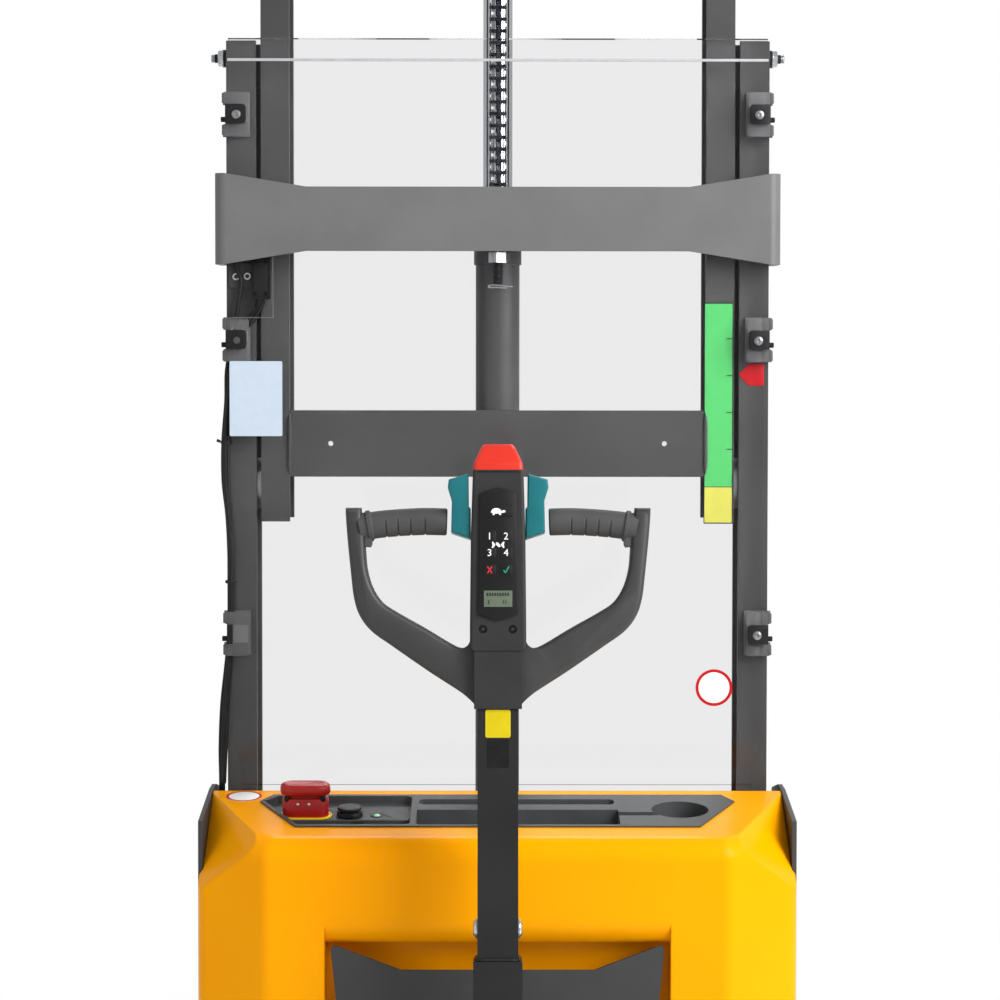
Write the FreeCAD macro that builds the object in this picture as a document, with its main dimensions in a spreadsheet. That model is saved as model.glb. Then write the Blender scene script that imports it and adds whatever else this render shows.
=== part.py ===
import FreeCAD, Part
import math
import os
import Sketcher
from FreeCAD import Placement, Rotation, Vector

# Pedestrian electric stacker, in millimetres: x across, y forward to the forks, z up from the floor.
# Every piece is drawn with y counted from the mast's rear face; mastBack then moves it so that the
# origin is at the middle of the footprint. Sizes are (alias, value, what it is).

doc = FreeCAD.newDocument("stacker")

sizeRows = [
    # layout
    ("gap", 0.3, "clearance where two pieces seat"),
    ("pinPlay", 0.1, "difference in diameter between a pin and its bore"),
    ("runGap", 5, "running clearance between moving pieces"),
    ("rearReach", 440, "mast rear face back to the skirt"),
    ("forkReach", 1300, "mast rear face forward to the fork tips"),
    ("lift", 1100, "inner mast raised by this at rest"),
    # outer mast
    ("mastHalf", 367, "outer channels, outer face from the centre"),
    ("mastDepth", 88, "depth of both channels"),
    ("mastWall", 9, "thickness of the channels' web and flanges"),
    ("mastFlange", 40, "width of the outer channels' flanges"),
    ("mastFoot", 60, "height of the channels' foot"),
    ("mastTop", 1829, "height of the outer mast's top"),
    # inner mast
    ("innerHalf", 320.5, "inner channels, outer face from the centre"),
    ("innerFlange", 38.5, "width of the inner channels' flanges"),
    ("innerLow", 79, "inner mast's foot when lowered"),
    ("innerLength", 1735, "length of the inner channels"),
    ("tieThick", 9, "thickness of the lower cross-member"),
    ("tieLow", 1240, "lower edge of the lower cross-member, raised"),
    ("tieHeight", 90, "height of the lower cross-member"),
    ("tieHoleGap", 453, "distance between the two holes of the lower cross-member"),
    ("tieHole", 7, "diameter of those holes"),
    ("headTie", 12, "thickness of the upper cross-member"),
    ("headHeight", 200, "height of the upper cross-member"),
    ("rollerRun", 0.5, "clearance of the mast rollers in their channel"),
    ("rollerWide", 34, "width of the mast rollers"),
    # lift cylinder and chain
    ("cylinderBack", 48, "cylinder axis in front of the mast's rear face"),
    ("cylinderOut", 60, "outer diameter of the cylinder tube"),
    ("collarOut", 65, "outer diameter of the collar"),
    ("collarLow", 1528, "lower end of the collar"),
    ("collarTop", 1580, "top of the collar"),
    ("rodOut", 40, "diameter of the chrome rod"),
    ("rodLength", 1480, "length of the rod below its clevis"),
    ("sheaveRadius", 42, "bottom of the chain groove from the sheave's axis"),
    ("sheaveRim", 52, "rim radius of the sheave"),
    ("sheaveWide", 34, "width of the sheave over its rims"),
    ("sheavePin", 20, "diameter of the sheave's pin"),
    ("sheaveDrop", 54, "sheave's axis below the inner mast's top"),
    ("chainWide", 23.6, "width of the leaf chain over its plates"),
    ("chainDeep", 12, "depth of the chain's plates"),
    ("chainWaist", 8.6, "depth of the plates between their pins"),
    ("chainPitch", 15.875, "pitch of the leaf chain"),
    ("anchorHigh", 1604, "height at which the fixed run starts"),
    ("anchorRod", 14, "diameter of the anchor's threaded rod"),
    ("anchorLow", 1489, "lower end of the threaded rod"),
    # yoke and guard
    ("yokeThick", 9, "plate thickness of the flared yoke"),
    ("yokeBend", 16, "outer radius of the yoke's bends"),
    ("yokeBack", 38, "yoke's rear face behind the mast"),
    ("yokeSide", 13, "thickness of the yoke's side flanges"),
    ("yokeFlat", 257, "half width of the yoke's straight part"),
    ("yokeLow", 1545, "lower edge of the yoke"),
    ("yokeHigh", 1631, "upper edge of the yoke"),
    ("yokeFlare", 18, "how far the ends widen up and down"),
    ("yokeWrap", 60, "how far the side flanges reach along the mast"),
    ("guardThick", 4, "thickness of the clear sheets"),
    ("guardBack", 24, "sheets' rear face behind the mast"),
    ("guardHalf", 363, "half width of the upper sheet"),
    ("guardLowerHalf", 357.5, "half width of the lower sheet"),
    ("guardFoot", 822, "lower edge of the lower sheet"),
    ("guardFold", 880, "height at which the lower sheet folds"),
    ("guardStep", 9, "how far the fold steps towards the mast"),
    ("switchLow", 1480, "foot of the limit switch"),
    ("switchAt", 319, "limit switch from the centre"),
    ("leadOut", 6, "diameter of the leads on the mast"),
    ("clipWide", 36, "width of a clip's tab"),
    ("clipHigh", 60, "height of a clip's tab"),
    ("clipOut", 371, "outer edge of the tabs from the centre"),
    ("clipUpper", 1729, "height of the upper clips"),
    ("clipMiddle", 1426, "height of the middle clips"),
    ("clipLower", 1028, "height of the lower clips"),
    # chassis
    ("bodyHalf", 390, "half width of the chassis"),
    ("plate", 6, "plate thickness of the chassis"),
    ("skirtLow", 45, "ground clearance of the skirt"),
    ("shelfTop", 338, "height of the shelf that carries the hood"),
    ("sideTop", 818, "highest point of the side plates"),
    ("sideDrop", 18, "side plates' fall from there to either end"),
    ("sideBack", 165, "side plates' rear edge behind the mast"),
    ("sideFront", 95, "side plates' front edge before the mast's rear face"),
    ("cornerCut", 88, "chamfer of the rear corners"),
    ("footTop", 60, "top of the mast's foot plate"),
    ("footThick", 15, "thickness of the foot plate"),
    ("crossTop", 200, "top of the cross plate behind the mast's foot"),
    ("casterDeck", 186, "top of the decks that carry the casters"),
    ("casterDeckRear", 230, "rear edge of those decks behind the mast"),
    ("crossRear", 19, "cross plate's rear face behind the mast"),
    # support arms and load rollers
    ("armAt", 195, "support arms and forks from the centre"),
    ("armWide", 110, "width of a support arm"),
    ("armTop", 80, "top of the support arms"),
    ("armLow", 30, "underside of the support arms"),
    ("armWall", 5, "wall of the support arms"),
    ("armTip", 1230, "tip of the support arms"),
    ("rollerAt", 1175, "load rollers' axle"),
    ("rollerOut", 68, "diameter of the load rollers"),
    ("rollerAxle", 20, "diameter of the load rollers' axles"),
    # forks and carriage, raised
    ("forkWide", 180, "width of a fork"),
    ("forkTop", 92, "top of the lowered forks"),
    ("forkPlate", 6, "plate thickness of the forks"),
    ("forkDrop", 52, "height of a fork's side walls"),
    ("forkHeel", 150, "front face of the forks' shanks"),
    ("shankHigh", 435, "top of the shanks above the lowered floor"),
    ("carriageBack", 104, "rear face of the carriage bars"),
    ("carriageBar", 20, "thickness of the carriage bars"),
    ("carriageLow", 105, "foot of the carriage's side plates when lowered"),
    ("carriageHigh", 500, "top of the carriage's side plates when lowered"),
    ("carriageHalf", 275, "half width of the carriage's side plates"),
    ("carriagePlate", 12, "thickness of the side plates"),
    ("carriageRear", 30, "side plates' rear edge before the mast's rear face"),
    ("carriageWheel", 27, "width of the carriage's rollers"),
    ("lugTop", 400, "top of the chain's lug on the lowered carriage"),
    # hood
    ("hoodBack", 259, "hood's rear face behind the mast"),
    ("hoodFront", 26, "hood's front edge behind the mast"),
    ("hoodInset", 2, "hood's sides inside the chassis's sides"),
    ("hoodRebate", 4.5, "hood's sides step in by this between the side plates"),
    ("hoodDeep", 65, "depth of the hood's chamfered rear corners"),
    ("hoodCorner", 93, "width of the hood's chamfered rear corners"),
    ("facetRise", 1.24, "slope of the facet over each rear corner, up for across"),
    ("facetOver", 34, "height above the deck's front at which the facets are measured"),
    ("facetRear", 140.6, "facet inside the hood's side at that height, at the rear"),
    ("facetFront", 27, "facet inside the hood's side at that height, at the mast"),
    ("crease", 28, "radius of the hood's upright edges"),
    ("hoodWall", 5, "wall of the hood"),
    ("hoodRound", 30, "radius of the hood's upper rear edge"),
    ("deckRear", 791, "deck height at the rear"),
    ("deckFront", 816, "deck height at the mast"),
    ("deckTilt", 6.12, "slope of the deck, degrees"),
    ("scoopHalf", 220, "half width of the scoop"),
    ("scoopDeep", 50, "depth of the scoop"),
    ("scoopTop", 657, "ceiling of the scoop"),
    ("scoopLip", 32, "radius of the lip over the scoop"),
    ("apronHalf", 213, "half width of the apron"),
    ("apronTip", 660, "height of the apron's tips"),
    ("apronMid", 626, "height of the apron's middle"),
    ("apronFlat", 123, "half width of the apron's level middle"),
    ("apronTaper", 33, "apron's foot narrower than its tips on each side"),
    ("apronThick", 4, "thickness of the apron"),
    ("archRoom", 46, "room left round the tiller's pivot by the apron's arch"),
    # tray and controls
    ("trayRim", 2, "thickness of the tray's rim on the deck"),
    ("trayFar", 52, "tray's far edge behind the mast"),
    ("trayNear", 197, "tray's near edge behind the mast"),
    ("trayTip", 83, "tray's widest line behind the mast"),
    ("trayFarHalf", 300, "half width of the tray's far edge"),
    ("trayTipHalf", 316, "half width of the tray at its widest"),
    ("trayNearHalf", 262, "half width of the tray's near edge"),
    ("trayLip", 6, "tray's rim beside the panel"),
    ("troughDeep", 24, "depth of the trough"),
    ("slotDeep", 12, "depth of the slot"),
    ("panelDeep", 8, "depth of the control panel below the deck"),
    ("gutterDeep", 16, "depth of the gutter along the panel"),
    ("grooveDeep", 8, "depth of the groove between trough and cup"),
    ("cupDeep", 26, "depth of the cup recess"),
    ("trayWall", 3, "wall of the tray's basins"),
    ("cupOut", 75, "diameter of the cup recess"),
    ("cupAt", 240.5, "cup recess from the centre"),
    ("cupBack", 123, "cup recess behind the mast"),
    ("troughLeft", -106, "trough's left end"),
    ("troughRight", 159, "trough's right end"),
    ("troughNear", 190, "trough's near side behind the mast"),
    ("troughFar", 124, "trough's far side behind the mast"),
    ("slotLeft", -104, "slot's left end"),
    ("slotRight", 155, "slot's right end"),
    ("slotNear", 99, "slot's near side behind the mast"),
    ("slotFar", 75, "slot's far side behind the mast"),
    ("panelRight", -114, "panel's right end"),
    ("panelNear", 189, "panel's near side behind the mast"),
    ("panelFar", 60, "panel's far side behind the mast"),
    ("gutterRight", -114, "gutter's right end"),
    ("gutterNear", 189, "gutter's near side behind the mast"),
    ("gutterFar", 160, "gutter's far side behind the mast"),
    ("grooveLeft", 150, "groove's left end"),
    ("grooveRight", 210, "groove's right end"),
    ("grooveNear", 150, "groove's near side behind the mast"),
    ("grooveFar", 134, "groove's far side behind the mast"),
    ("stopAt", -253, "emergency stop from the centre"),
    ("stopWide", 66, "width of the emergency stop's head"),
    ("stopBack", 118, "emergency stop and key behind the mast"),
    ("stopDeep", 34, "depth of the emergency stop's head"),
    ("keyAt", -195, "key switch from the centre"),
    ("keyOut", 34, "diameter of the key switch"),
    # drive unit
    ("steerBack", 294, "steering axis behind the mast's rear face"),
    ("driveOut", 220, "diameter of the drive wheel"),
    ("driveWide", 70, "width of the drive wheel"),
    ("driveHub", 150, "diameter under the drive wheel's tyre"),
    ("driveAxle", 30, "diameter of the drive wheel's axle"),
    ("motorOut", 180, "diameter of the drive motor"),
    ("motorHigh", 78, "height of the drive motor"),
    ("spindle", 50, "diameter of the steering spindle"),
    # tiller
    ("tillerPivot", 440, "height of the tiller's pivot"),
    ("tillerArm", 110, "pivot from the steering axis"),
    ("tillerLean", 8, "lean of the parked tiller towards the mast, degrees"),
    ("tubeWide", 50, "side of the tiller's square tube"),
    ("sleeveWide", 60, "side of the sleeve round the tube's foot"),
    ("sleeveLong", 230, "length of the sleeve"),
    ("headLow", 536, "foot of the tiller's head along the tube"),
    ("headHigh", 831, "top of the tiller's head along the tube"),
    ("headHalf", 31.4, "half width of the head at its top"),
    ("headWide", 34.8, "half width of the head at its lower part"),
    ("headSeam", 607, "seam between head and neck along the tube"),
    ("neckHalf", 29.5, "half width of the neck"),
    ("headDeep", 56, "depth of the head"),
    ("gripAt", 768, "grips along the tube"),
    ("gripOut", 34, "diameter of the grips"),
    ("loopDeep", 30, "depth of the loop's arms"),
    ("loopRound", 8, "radius of the loop's edges"),
    ("loopHalf", 190, "loop's outer edge from the middle"),
    # casters
    ("casterInset", 115, "casters inside the chassis's sides"),
    ("casterBack", 130, "caster swivels behind the mast's rear face"),
    ("casterOut", 130, "diameter of the caster wheels"),
    ("casterWide", 45, "width of the caster wheels"),
    ("casterTrail", 32, "trail of the casters"),
    ("casterAxle", 16, "diameter of the caster axles"),
    # battery
    ("batteryHalf", 290, "half width of the battery"),
    ("batteryDeep", 155, "depth of the battery"),
    ("batteryHigh", 300, "height of the battery"),
]

sheet = doc.addObject("Spreadsheet::Sheet", "sizes")
for line, (alias, value, meaning) in enumerate(sizeRows, start=1):
    sheet.set(f"A{line}", meaning)
    sheet.set(f"B{line}", str(value))
    sheet.setAlias(f"B{line}", alias)
doc.recompute()


class Size:
    # A length that knows both its formula in the sheet and its present value.
    def __init__(self, formula, value):
        self.formula = formula
        self.value = value

    def __add__(self, other):
        other = asSize(other)
        return Size(f"({self.formula} + {other.formula})", self.value + other.value)

    def __sub__(self, other):
        other = asSize(other)
        return Size(f"({self.formula} - {other.formula})", self.value - other.value)

    def __mul__(self, other):
        other = asSize(other)
        return Size(f"({self.formula} * {other.formula})", self.value * other.value)

    def __truediv__(self, other):
        other = asSize(other)
        return Size(f"({self.formula} / {other.formula})", self.value / other.value)

    def __radd__(self, other):
        return asSize(other) + self

    def __rsub__(self, other):
        return asSize(other) - self

    def __rmul__(self, other):
        return asSize(other) * self

    def __neg__(self):
        return Size(f"(0 - {self.formula})", -self.value)


def asSize(number):
    if isinstance(number, Size):
        return number
    return Size(f"({float(number)!r})", float(number))


def named(alias):
    return Size(f"sizes.{alias}", float(sheet.get(alias)))


def bind(thing, path, size):
    thing.setExpression(path, asSize(size).formula)


# Derived sizes that several pieces share
mastBack = (named("rearReach") - named("forkReach")) / 2
mastHalf = named("mastHalf")
mastDepth = named("mastDepth")
mastWall = named("mastWall")
innerHalf = named("innerHalf")
innerWeb = innerHalf - mastWall
innerFoot = named("innerLow") + named("lift")
innerTop = innerFoot + named("innerLength")
sheaveHigh = innerTop - named("sheaveDrop")
casterAt = named("bodyHalf") - named("casterInset")
outerWeb = mastHalf - mastWall
bodyHalf = named("bodyHalf")
plate = named("plate")
gap = named("gap")
pinPlay = named("pinPlay")
clear = named("runGap")
shelfTop = named("shelfTop")
shelfLow = shelfTop - plate
carriageLift = named("lift") * 2
armAt = named("armAt")
hoodBack = -named("hoodBack")
deckRise = (named("deckFront") - named("deckRear")) / (named("hoodBack") - named("hoodFront"))
hoodHalf = named("bodyHalf") - named("hoodInset")
basinKinds = (("trough", 0), ("slot", 8), ("panel", 10), ("gutter", 8), ("groove", 0))

nodes = {}


def register(thing, name, forward=mastBack):
    # Names the piece's file and moves the piece from the mast's datum to the footprint's middle.
    thing.Label = name
    bind(thing, "Placement.Base.y", forward)
    nodes[name] = thing
    return thing


def newBody(name):
    body = doc.addObject("PartDesign::Body", name + "_body")
    body.AllowCompound = True
    return body


def plane(body, role):
    return [item for item in body.Origin.OriginFeatures if item.Role == role + "_Plane"][0]


def axisOf(body, role):
    return [item for item in body.Origin.OriginFeatures if item.Role == role + "_Axis"][0]


def attach(body, name, where, at):
    # A sketch parallel to one of the body's own planes, at a distance along +Z, +Y or +X.
    sketch = body.newObject("Sketcher::SketchObject", name)
    sketch.AttachmentSupport = (plane(body, where), [""])
    sketch.MapMode = "FlatFace"
    at = asSize(at)
    bind(sketch, "AttachmentOffset.Base.z", -at if where == "XZ" else at)
    return sketch


def outline(body, name, where, at, points):
    # A closed outline of straight lines, every corner held by the sheet.
    sketch = attach(body, name, where, at)
    corners = [(asSize(point[0]), asSize(point[1])) for point in points]
    count = len(corners)
    flat = [Vector(across.value, up.value, 0) for across, up in corners]
    lines = [Part.LineSegment(flat[i], flat[(i + 1) % count]) for i in range(count)]
    sketch.addGeometry(lines, False)
    rules = [Sketcher.Constraint("Coincident", i, 2, (i + 1) % count, 1) for i in range(count)]
    for i, (across, up) in enumerate(corners):
        rules.append(Sketcher.Constraint("DistanceX", -1, 1, i, 1, across.value))
        rules.append(Sketcher.Constraint("DistanceY", -1, 1, i, 1, up.value))
    sketch.addConstraint(rules)
    for i, (across, up) in enumerate(corners):
        bind(sketch, f"Constraints[{count + 2 * i}]", across)
        bind(sketch, f"Constraints[{count + 2 * i + 1}]", up)
    return sketch


def rings(body, name, where, at, circles):
    # Circles given as (across, up, diameter).
    sketch = attach(body, name, where, at)
    for i, circle in enumerate(circles):
        across, up, across2 = [asSize(value) for value in circle]
        radius = across2 / 2
        sketch.addGeometry(Part.Circle(Vector(across.value, up.value, 0), Vector(0, 0, 1), radius.value))
        sketch.addConstraint(Sketcher.Constraint("DistanceX", -1, 1, i, 3, across.value))
        sketch.addConstraint(Sketcher.Constraint("DistanceY", -1, 1, i, 3, up.value))
        sketch.addConstraint(Sketcher.Constraint("Radius", i, radius.value))
        for offset, size in enumerate((across, up, radius)):
            bind(sketch, f"Constraints[{3 * i + offset}]", size)
    return sketch


def pad(sketch, length):
    # Grows from the sketch towards +Z, +Y or +X.
    body = sketch.getParentGeoFeatureGroup()
    feature = body.newObject("PartDesign::Pad", sketch.Name + "_pad")
    feature.Profile = (sketch, [""])
    feature.Reversed = "XZ_Plane" in sketch.AttachmentSupport[0][0].Role
    bind(feature, "Length", length)
    doc.recompute()
    return feature


def pocket(sketch, length):
    # Cuts from the sketch towards +Z, +Y or +X, and must take something away.
    body = sketch.getParentGeoFeatureGroup()
    before = body.Tip.Shape.Volume
    feature = body.newObject("PartDesign::Pocket", sketch.Name + "_cut")
    feature.Profile = (sketch, [""])
    feature.Reversed = "XZ_Plane" not in sketch.AttachmentSupport[0][0].Role
    bind(feature, "Length", length)
    doc.recompute()
    if feature.Shape.isNull() or feature.Shape.Volume > before - 1:
        raise RuntimeError(f"{feature.Name} cuts nothing")
    return feature


def turn(sketch, axis):
    # Revolves an outline about its own H_Axis or V_Axis.
    body = sketch.getParentGeoFeatureGroup()
    feature = body.newObject("PartDesign::Revolution", sketch.Name + "_turn")
    feature.Profile = (sketch, [""])
    feature.ReferenceAxis = (sketch, [axis])
    feature.Angle = 360
    doc.recompute()
    return feature


def mirror(body, features):
    # Repeats the features on the other side of the machine's middle plane.
    feature = body.newObject("PartDesign::Mirrored", body.Name + "_mirror")
    feature.Originals = features
    feature.MirrorPlane = (plane(body, "YZ"), [""])
    body.Tip = feature
    doc.recompute()
    return feature


def rounded(body, radius, chosen):
    # Fillets the edges of the last feature that the test accepts.
    base = body.Tip
    edges = [f"Edge{i + 1}" for i, edge in enumerate(base.Shape.Edges) if chosen(edge)]
    feature = body.newObject("PartDesign::Fillet", body.Name + "_round" + str(len(body.Group)))
    feature.Base = (base, edges)
    bind(feature, "Radius", radius)
    doc.recompute()
    return feature


def near(value, size):
    return abs(value - asSize(size).value) < 0.01


def along(edge, axis):
    # True for a straight edge that runs along x, y or z.
    if len(edge.Vertexes) != 2 or not isinstance(edge.Curve, (Part.Line, Part.LineSegment)):
        return False
    run = edge.Vertexes[1].Point - edge.Vertexes[0].Point
    return abs(abs(getattr(run, axis)) - run.Length) < 0.01


def box(body, name, low, high):
    # A block between two corners.
    sizes = [asSize(b) - asSize(a) for a, b in zip(low, high)]
    corners = [(low[0], low[1]), (high[0], low[1]), (high[0], high[1]), (low[0], high[1])]
    return pad(outline(body, name, "XY", low[2], corners), sizes[2])


def channel(body, name, half, flange, low, length):
    # One rolled channel that opens towards the middle, and its twin on the other side.
    tip = half - flange
    inner = half - mastWall
    section = [(tip, 0), (half, 0), (half, mastDepth), (tip, mastDepth), (tip, mastDepth - mastWall),
               (inner, mastDepth - mastWall), (inner, mastWall), (tip, mastWall)]
    feature = pad(outline(body, name, "XY", low, section), length)
    return feature


def roller(name, axisX, axisY, axisZ, across, wide, bore, edge):
    # A wheel that turns about x: half of its section, revolved, then set on its axle.
    body = newBody(name)
    half = asSize(wide) / 2
    outer = asSize(across) / 2
    inner = asSize(bore) / 2
    if edge:
        section = [(-half, inner), (half, inner), (half, outer - edge), (half - edge, outer),
                   (edge - half, outer), (-half, outer - edge)]
    else:
        section = [(-half, inner), (half, inner), (half, outer), (-half, outer)]
    turn(outline(body, name + "_section", "XZ", 0, section), "H_Axis")
    bind(body, "Placement.Base.x", axisX)
    bind(body, "Placement.Base.z", axisZ)
    return register(body, name, mastBack + asSize(axisY))


# Chassis: skirt, shelf, side plates, mast foot and the decks of the casters, welded in one

def makeChassis():
    body = newBody("chassis")
    rear = -named("rearReach")
    cut = named("cornerCut")
    low = named("skirtLow")

    def plan(inset):
        # The skirt's outline: straight sides and chamfered rear corners.
        side = bodyHalf - inset
        back = rear + inset
        bevel = cut - inset * 0.414
        return [(-side, back + bevel), (-side + bevel, back), (side - bevel, back), (side, back + bevel)]

    front = -named("hoodFront")
    pad(outline(body, "skirt", "XY", low, plan(asSize(0)) + [(bodyHalf, front), (-bodyHalf, front)]),
        shelfTop - low)
    pocket(outline(body, "skirt_inside", "XY", low,
                   plan(plate) + [(bodyHalf - plate, front + 1), (plate - bodyHalf, front + 1)]),
           shelfLow - low)
    hole = named("spindle") + 2 * gap
    pocket(rings(body, "spindle_hole", "XY", shelfLow - 1, [(0, -named("steerBack"), hole)]), plate + 2)
    side = outline(body, "side_plate", "YZ", bodyHalf - plate, [
        (front, low), (named("sideFront"), low), (named("sideFront"), named("sideTop") - named("sideDrop")),
        (15, named("sideTop")), (front, named("sideTop")),
        (-named("sideBack"), named("sideTop") - named("sideDrop")), (-named("sideBack"), shelfTop),
        (front, shelfTop)])
    sidePlate = pad(side, plate)
    crossRear = -named("crossRear")
    deck = box(body, "caster_deck", (armAt, -named("casterDeckRear"), named("casterDeck") - 8),
               (bodyHalf - plate, crossRear, named("casterDeck")))
    mirror(body, [sidePlate, deck])
    footLow = named("footTop") - named("footThick")
    box(body, "mast_foot", (plate - bodyHalf, crossRear, footLow),
        (bodyHalf - plate, named("sideFront"), named("footTop")))
    box(body, "cross_plate", (plate - bodyHalf, crossRear, named("footTop")),
        (bodyHalf - plate, -clear, named("crossTop")))
    register(body, "chassis_frame")


def makeSupportArms():
    body = newBody("arms")
    half = named("armWide") / 2
    low = named("armLow")
    top = named("armTop")
    wall = named("armWall")
    tip = named("armTip")
    start = named("sideFront")
    side = outline(body, "arm_side", "YZ", armAt - half, [
        (start, low), (tip - 15, low), (tip, low + 12), (tip, top - 22), (tip - 40, top), (start, top)])
    solid = pad(side, named("armWide"))
    hollow = pocket(outline(body, "arm_inside", "XY", low, [
        (armAt - half + wall, start + 30), (armAt + half - wall, start + 30),
        (armAt + half - wall, tip - 12), (armAt - half + wall, tip - 12)]), top - low - wall)
    axle = pad(rings(body, "arm_axle", "YZ", armAt - half + wall,
                     [(named("rollerAt"), named("rollerOut") / 2, named("rollerAxle"))]),
               named("armWide") - 2 * wall)
    mirror(body, [solid, hollow, axle])
    register(body, "support_arms")


def makeBattery():
    body = newBody("battery")
    half = named("batteryHalf")
    front = -named("hoodFront") - named("hoodWall") - clear
    box(body, "battery_case", (-half, front - named("batteryDeep"), shelfTop),
        (half, front, shelfTop + named("batteryHigh")))
    register(body, "battery_block")


# Outer mast

def makeOuterMast():
    body = newBody("outer")
    section = channel(body, "outer_channel", mastHalf, named("mastFlange"), named("mastFoot"),
                      named("mastTop") - named("mastFoot"))
    mirror(body, [section])
    register(body, "outer_mast")


def makeYoke():
    body = newBody("yoke")
    back = -named("yokeBack")
    thick = named("yokeThick")
    flat = named("yokeFlat")
    inside = mastHalf
    outside = inside + named("yokeSide")
    flare = named("yokeFlare")
    low = named("yokeLow") - flare
    high = named("yokeHigh") + flare
    wrap = named("yokeWrap")
    bend = named("yokeBend")
    pad(outline(body, "yoke_bend", "XY", low, [
        (-outside, wrap), (-outside, back), (outside, back), (outside, wrap), (inside, wrap),
        (inside, back + thick), (-inside, back + thick), (-inside, wrap)]), high - low)
    rounded(body, bend, lambda edge: along(edge, "z") and near(edge.BoundBox.YMin, back))
    for name, edge, start in (("yoke_upper", named("yokeHigh"), high),
                              ("yoke_lower", named("yokeLow"), low)):
        points = [(-inside, start), (-flat, edge), (flat, edge), (inside, start)]
        if start is low:
            points.reverse()
        pocket(outline(body, name, "XZ", back - 5, points), named("yokeBack") + wrap)
    register(body, "mast_yoke")


def makeAdjusters():
    body = newBody("adjusters")
    high = named("mastTop") - 20
    slidePad = box(body, "slide_pad", (innerHalf + gap, mastWall + 3, high - 40),
                   (outerWeb, mastDepth - mastWall - 3, high + 16))
    screw = pad(rings(body, "adjusting_screw", "YZ", mastHalf, [(mastDepth / 2, high, 12)]), 19)
    nut = pad(rings(body, "adjusting_nut", "YZ", mastHalf, [(mastDepth / 2, high, 24)]), 8)
    mirror(body, [slidePad, screw, nut])
    register(body, "mast_adjusters")


def makeCylinder():
    body = newBody("cylinder")
    axis = named("cylinderBack")
    bore = named("rodOut") + 0.1
    foot = named("footTop")
    pad(rings(body, "cylinder_tube", "XY", foot, [(0, axis, named("cylinderOut"))]),
        named("collarTop") - foot)
    pad(rings(body, "cylinder_collar", "XY", named("collarLow"), [(0, axis, named("collarOut"))]),
        named("collarTop") - named("collarLow"))
    pocket(rings(body, "cylinder_bore", "XY", foot + 20, [(0, axis, bore)]), named("collarTop") - foot)
    register(body, "lift_cylinder")


def makeAnchor():
    body = newBody("anchor")
    rodHalf = named("anchorRod") / 2
    reach = named("cylinderBack") - named("collarOut") / 2 + 3
    box(body, "anchor_lug", (-20, -14, named("collarTop") - 32), (20, reach, named("collarTop") - 8))
    pad(rings(body, "anchor_rod", "XY", named("anchorLow"), [(0, 0, 2 * rodHalf)]),
        named("anchorHigh") - gap - named("anchorLow"))
    pad(rings(body, "anchor_nut", "XY", named("collarTop") - 49, [(0, 0, 26)]), 17)
    pocket(rings(body, "anchor_seat", "XY", named("anchorLow"),
                 [(0, named("cylinderBack"), named("collarOut") + 2 * gap)]), 120)
    register(body, "chain_anchor")


def makeChain():
    # Each run is a bar whose waists are notched between the pins, one notch per link.
    half = named("chainWide") / 2
    deep = named("chainDeep") / 2
    waist = named("chainWaist") / 2
    pitch = named("chainPitch")
    high = sheaveHigh
    runs = (("chain_fixed_run", asSize(0), named("anchorHigh")),
            ("chain_lift_run", named("cylinderBack") * 2, named("lugTop") + carriageLift))
    for name, at, low in runs:
        body = newBody(name)
        box(body, name + "_plates", (-half, at - deep, low), (half, at + deep, high - gap))
        cuts = []
        for side, edge in (("rear", -1), ("front", 1)):
            points = [(at + (deep + 1) * edge, low + pitch / 4),
                      (at + (deep + 1) * edge, low + pitch * 3 / 4),
                      (at + deep * edge, low + pitch * 3 / 4), (at + waist * edge, low + pitch / 2),
                      (at + deep * edge, low + pitch / 4)]
            if edge > 0:
                points.reverse()
            cuts.append(pocket(outline(body, f"{name}_{side}_waist", "YZ", -half - 1, points), 2 * half + 2))
        links = body.newObject("PartDesign::LinearPattern", name + "_links")
        links.Originals = cuts
        links.Direction = (axisOf(body, "Z"), [""])
        count = int((high - low).value / pitch.value)
        bind(links, "Length", pitch * (count - 1))
        links.Occurrences = count
        body.Tip = links
        doc.recompute()
        register(body, name)
    body = newBody("chain_wrap")
    inner = named("cylinderBack") - deep
    outer = named("cylinderBack") + deep
    pad(rings(body, "wrap_ring", "YZ", -half, [(0, 0, 2 * outer), (0, 0, 2 * inner)]),
        named("chainWide"))
    pocket(outline(body, "wrap_half", "YZ", -half - 1, [(-outer - 1, -outer - 1), (outer + 1, -outer - 1),
                                                       (outer + 1, 0), (-outer - 1, 0)]),
           named("chainWide") + 2)
    bind(body, "Placement.Base.z", high)
    register(body, "chain_wrap", mastBack + named("cylinderBack"))


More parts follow.
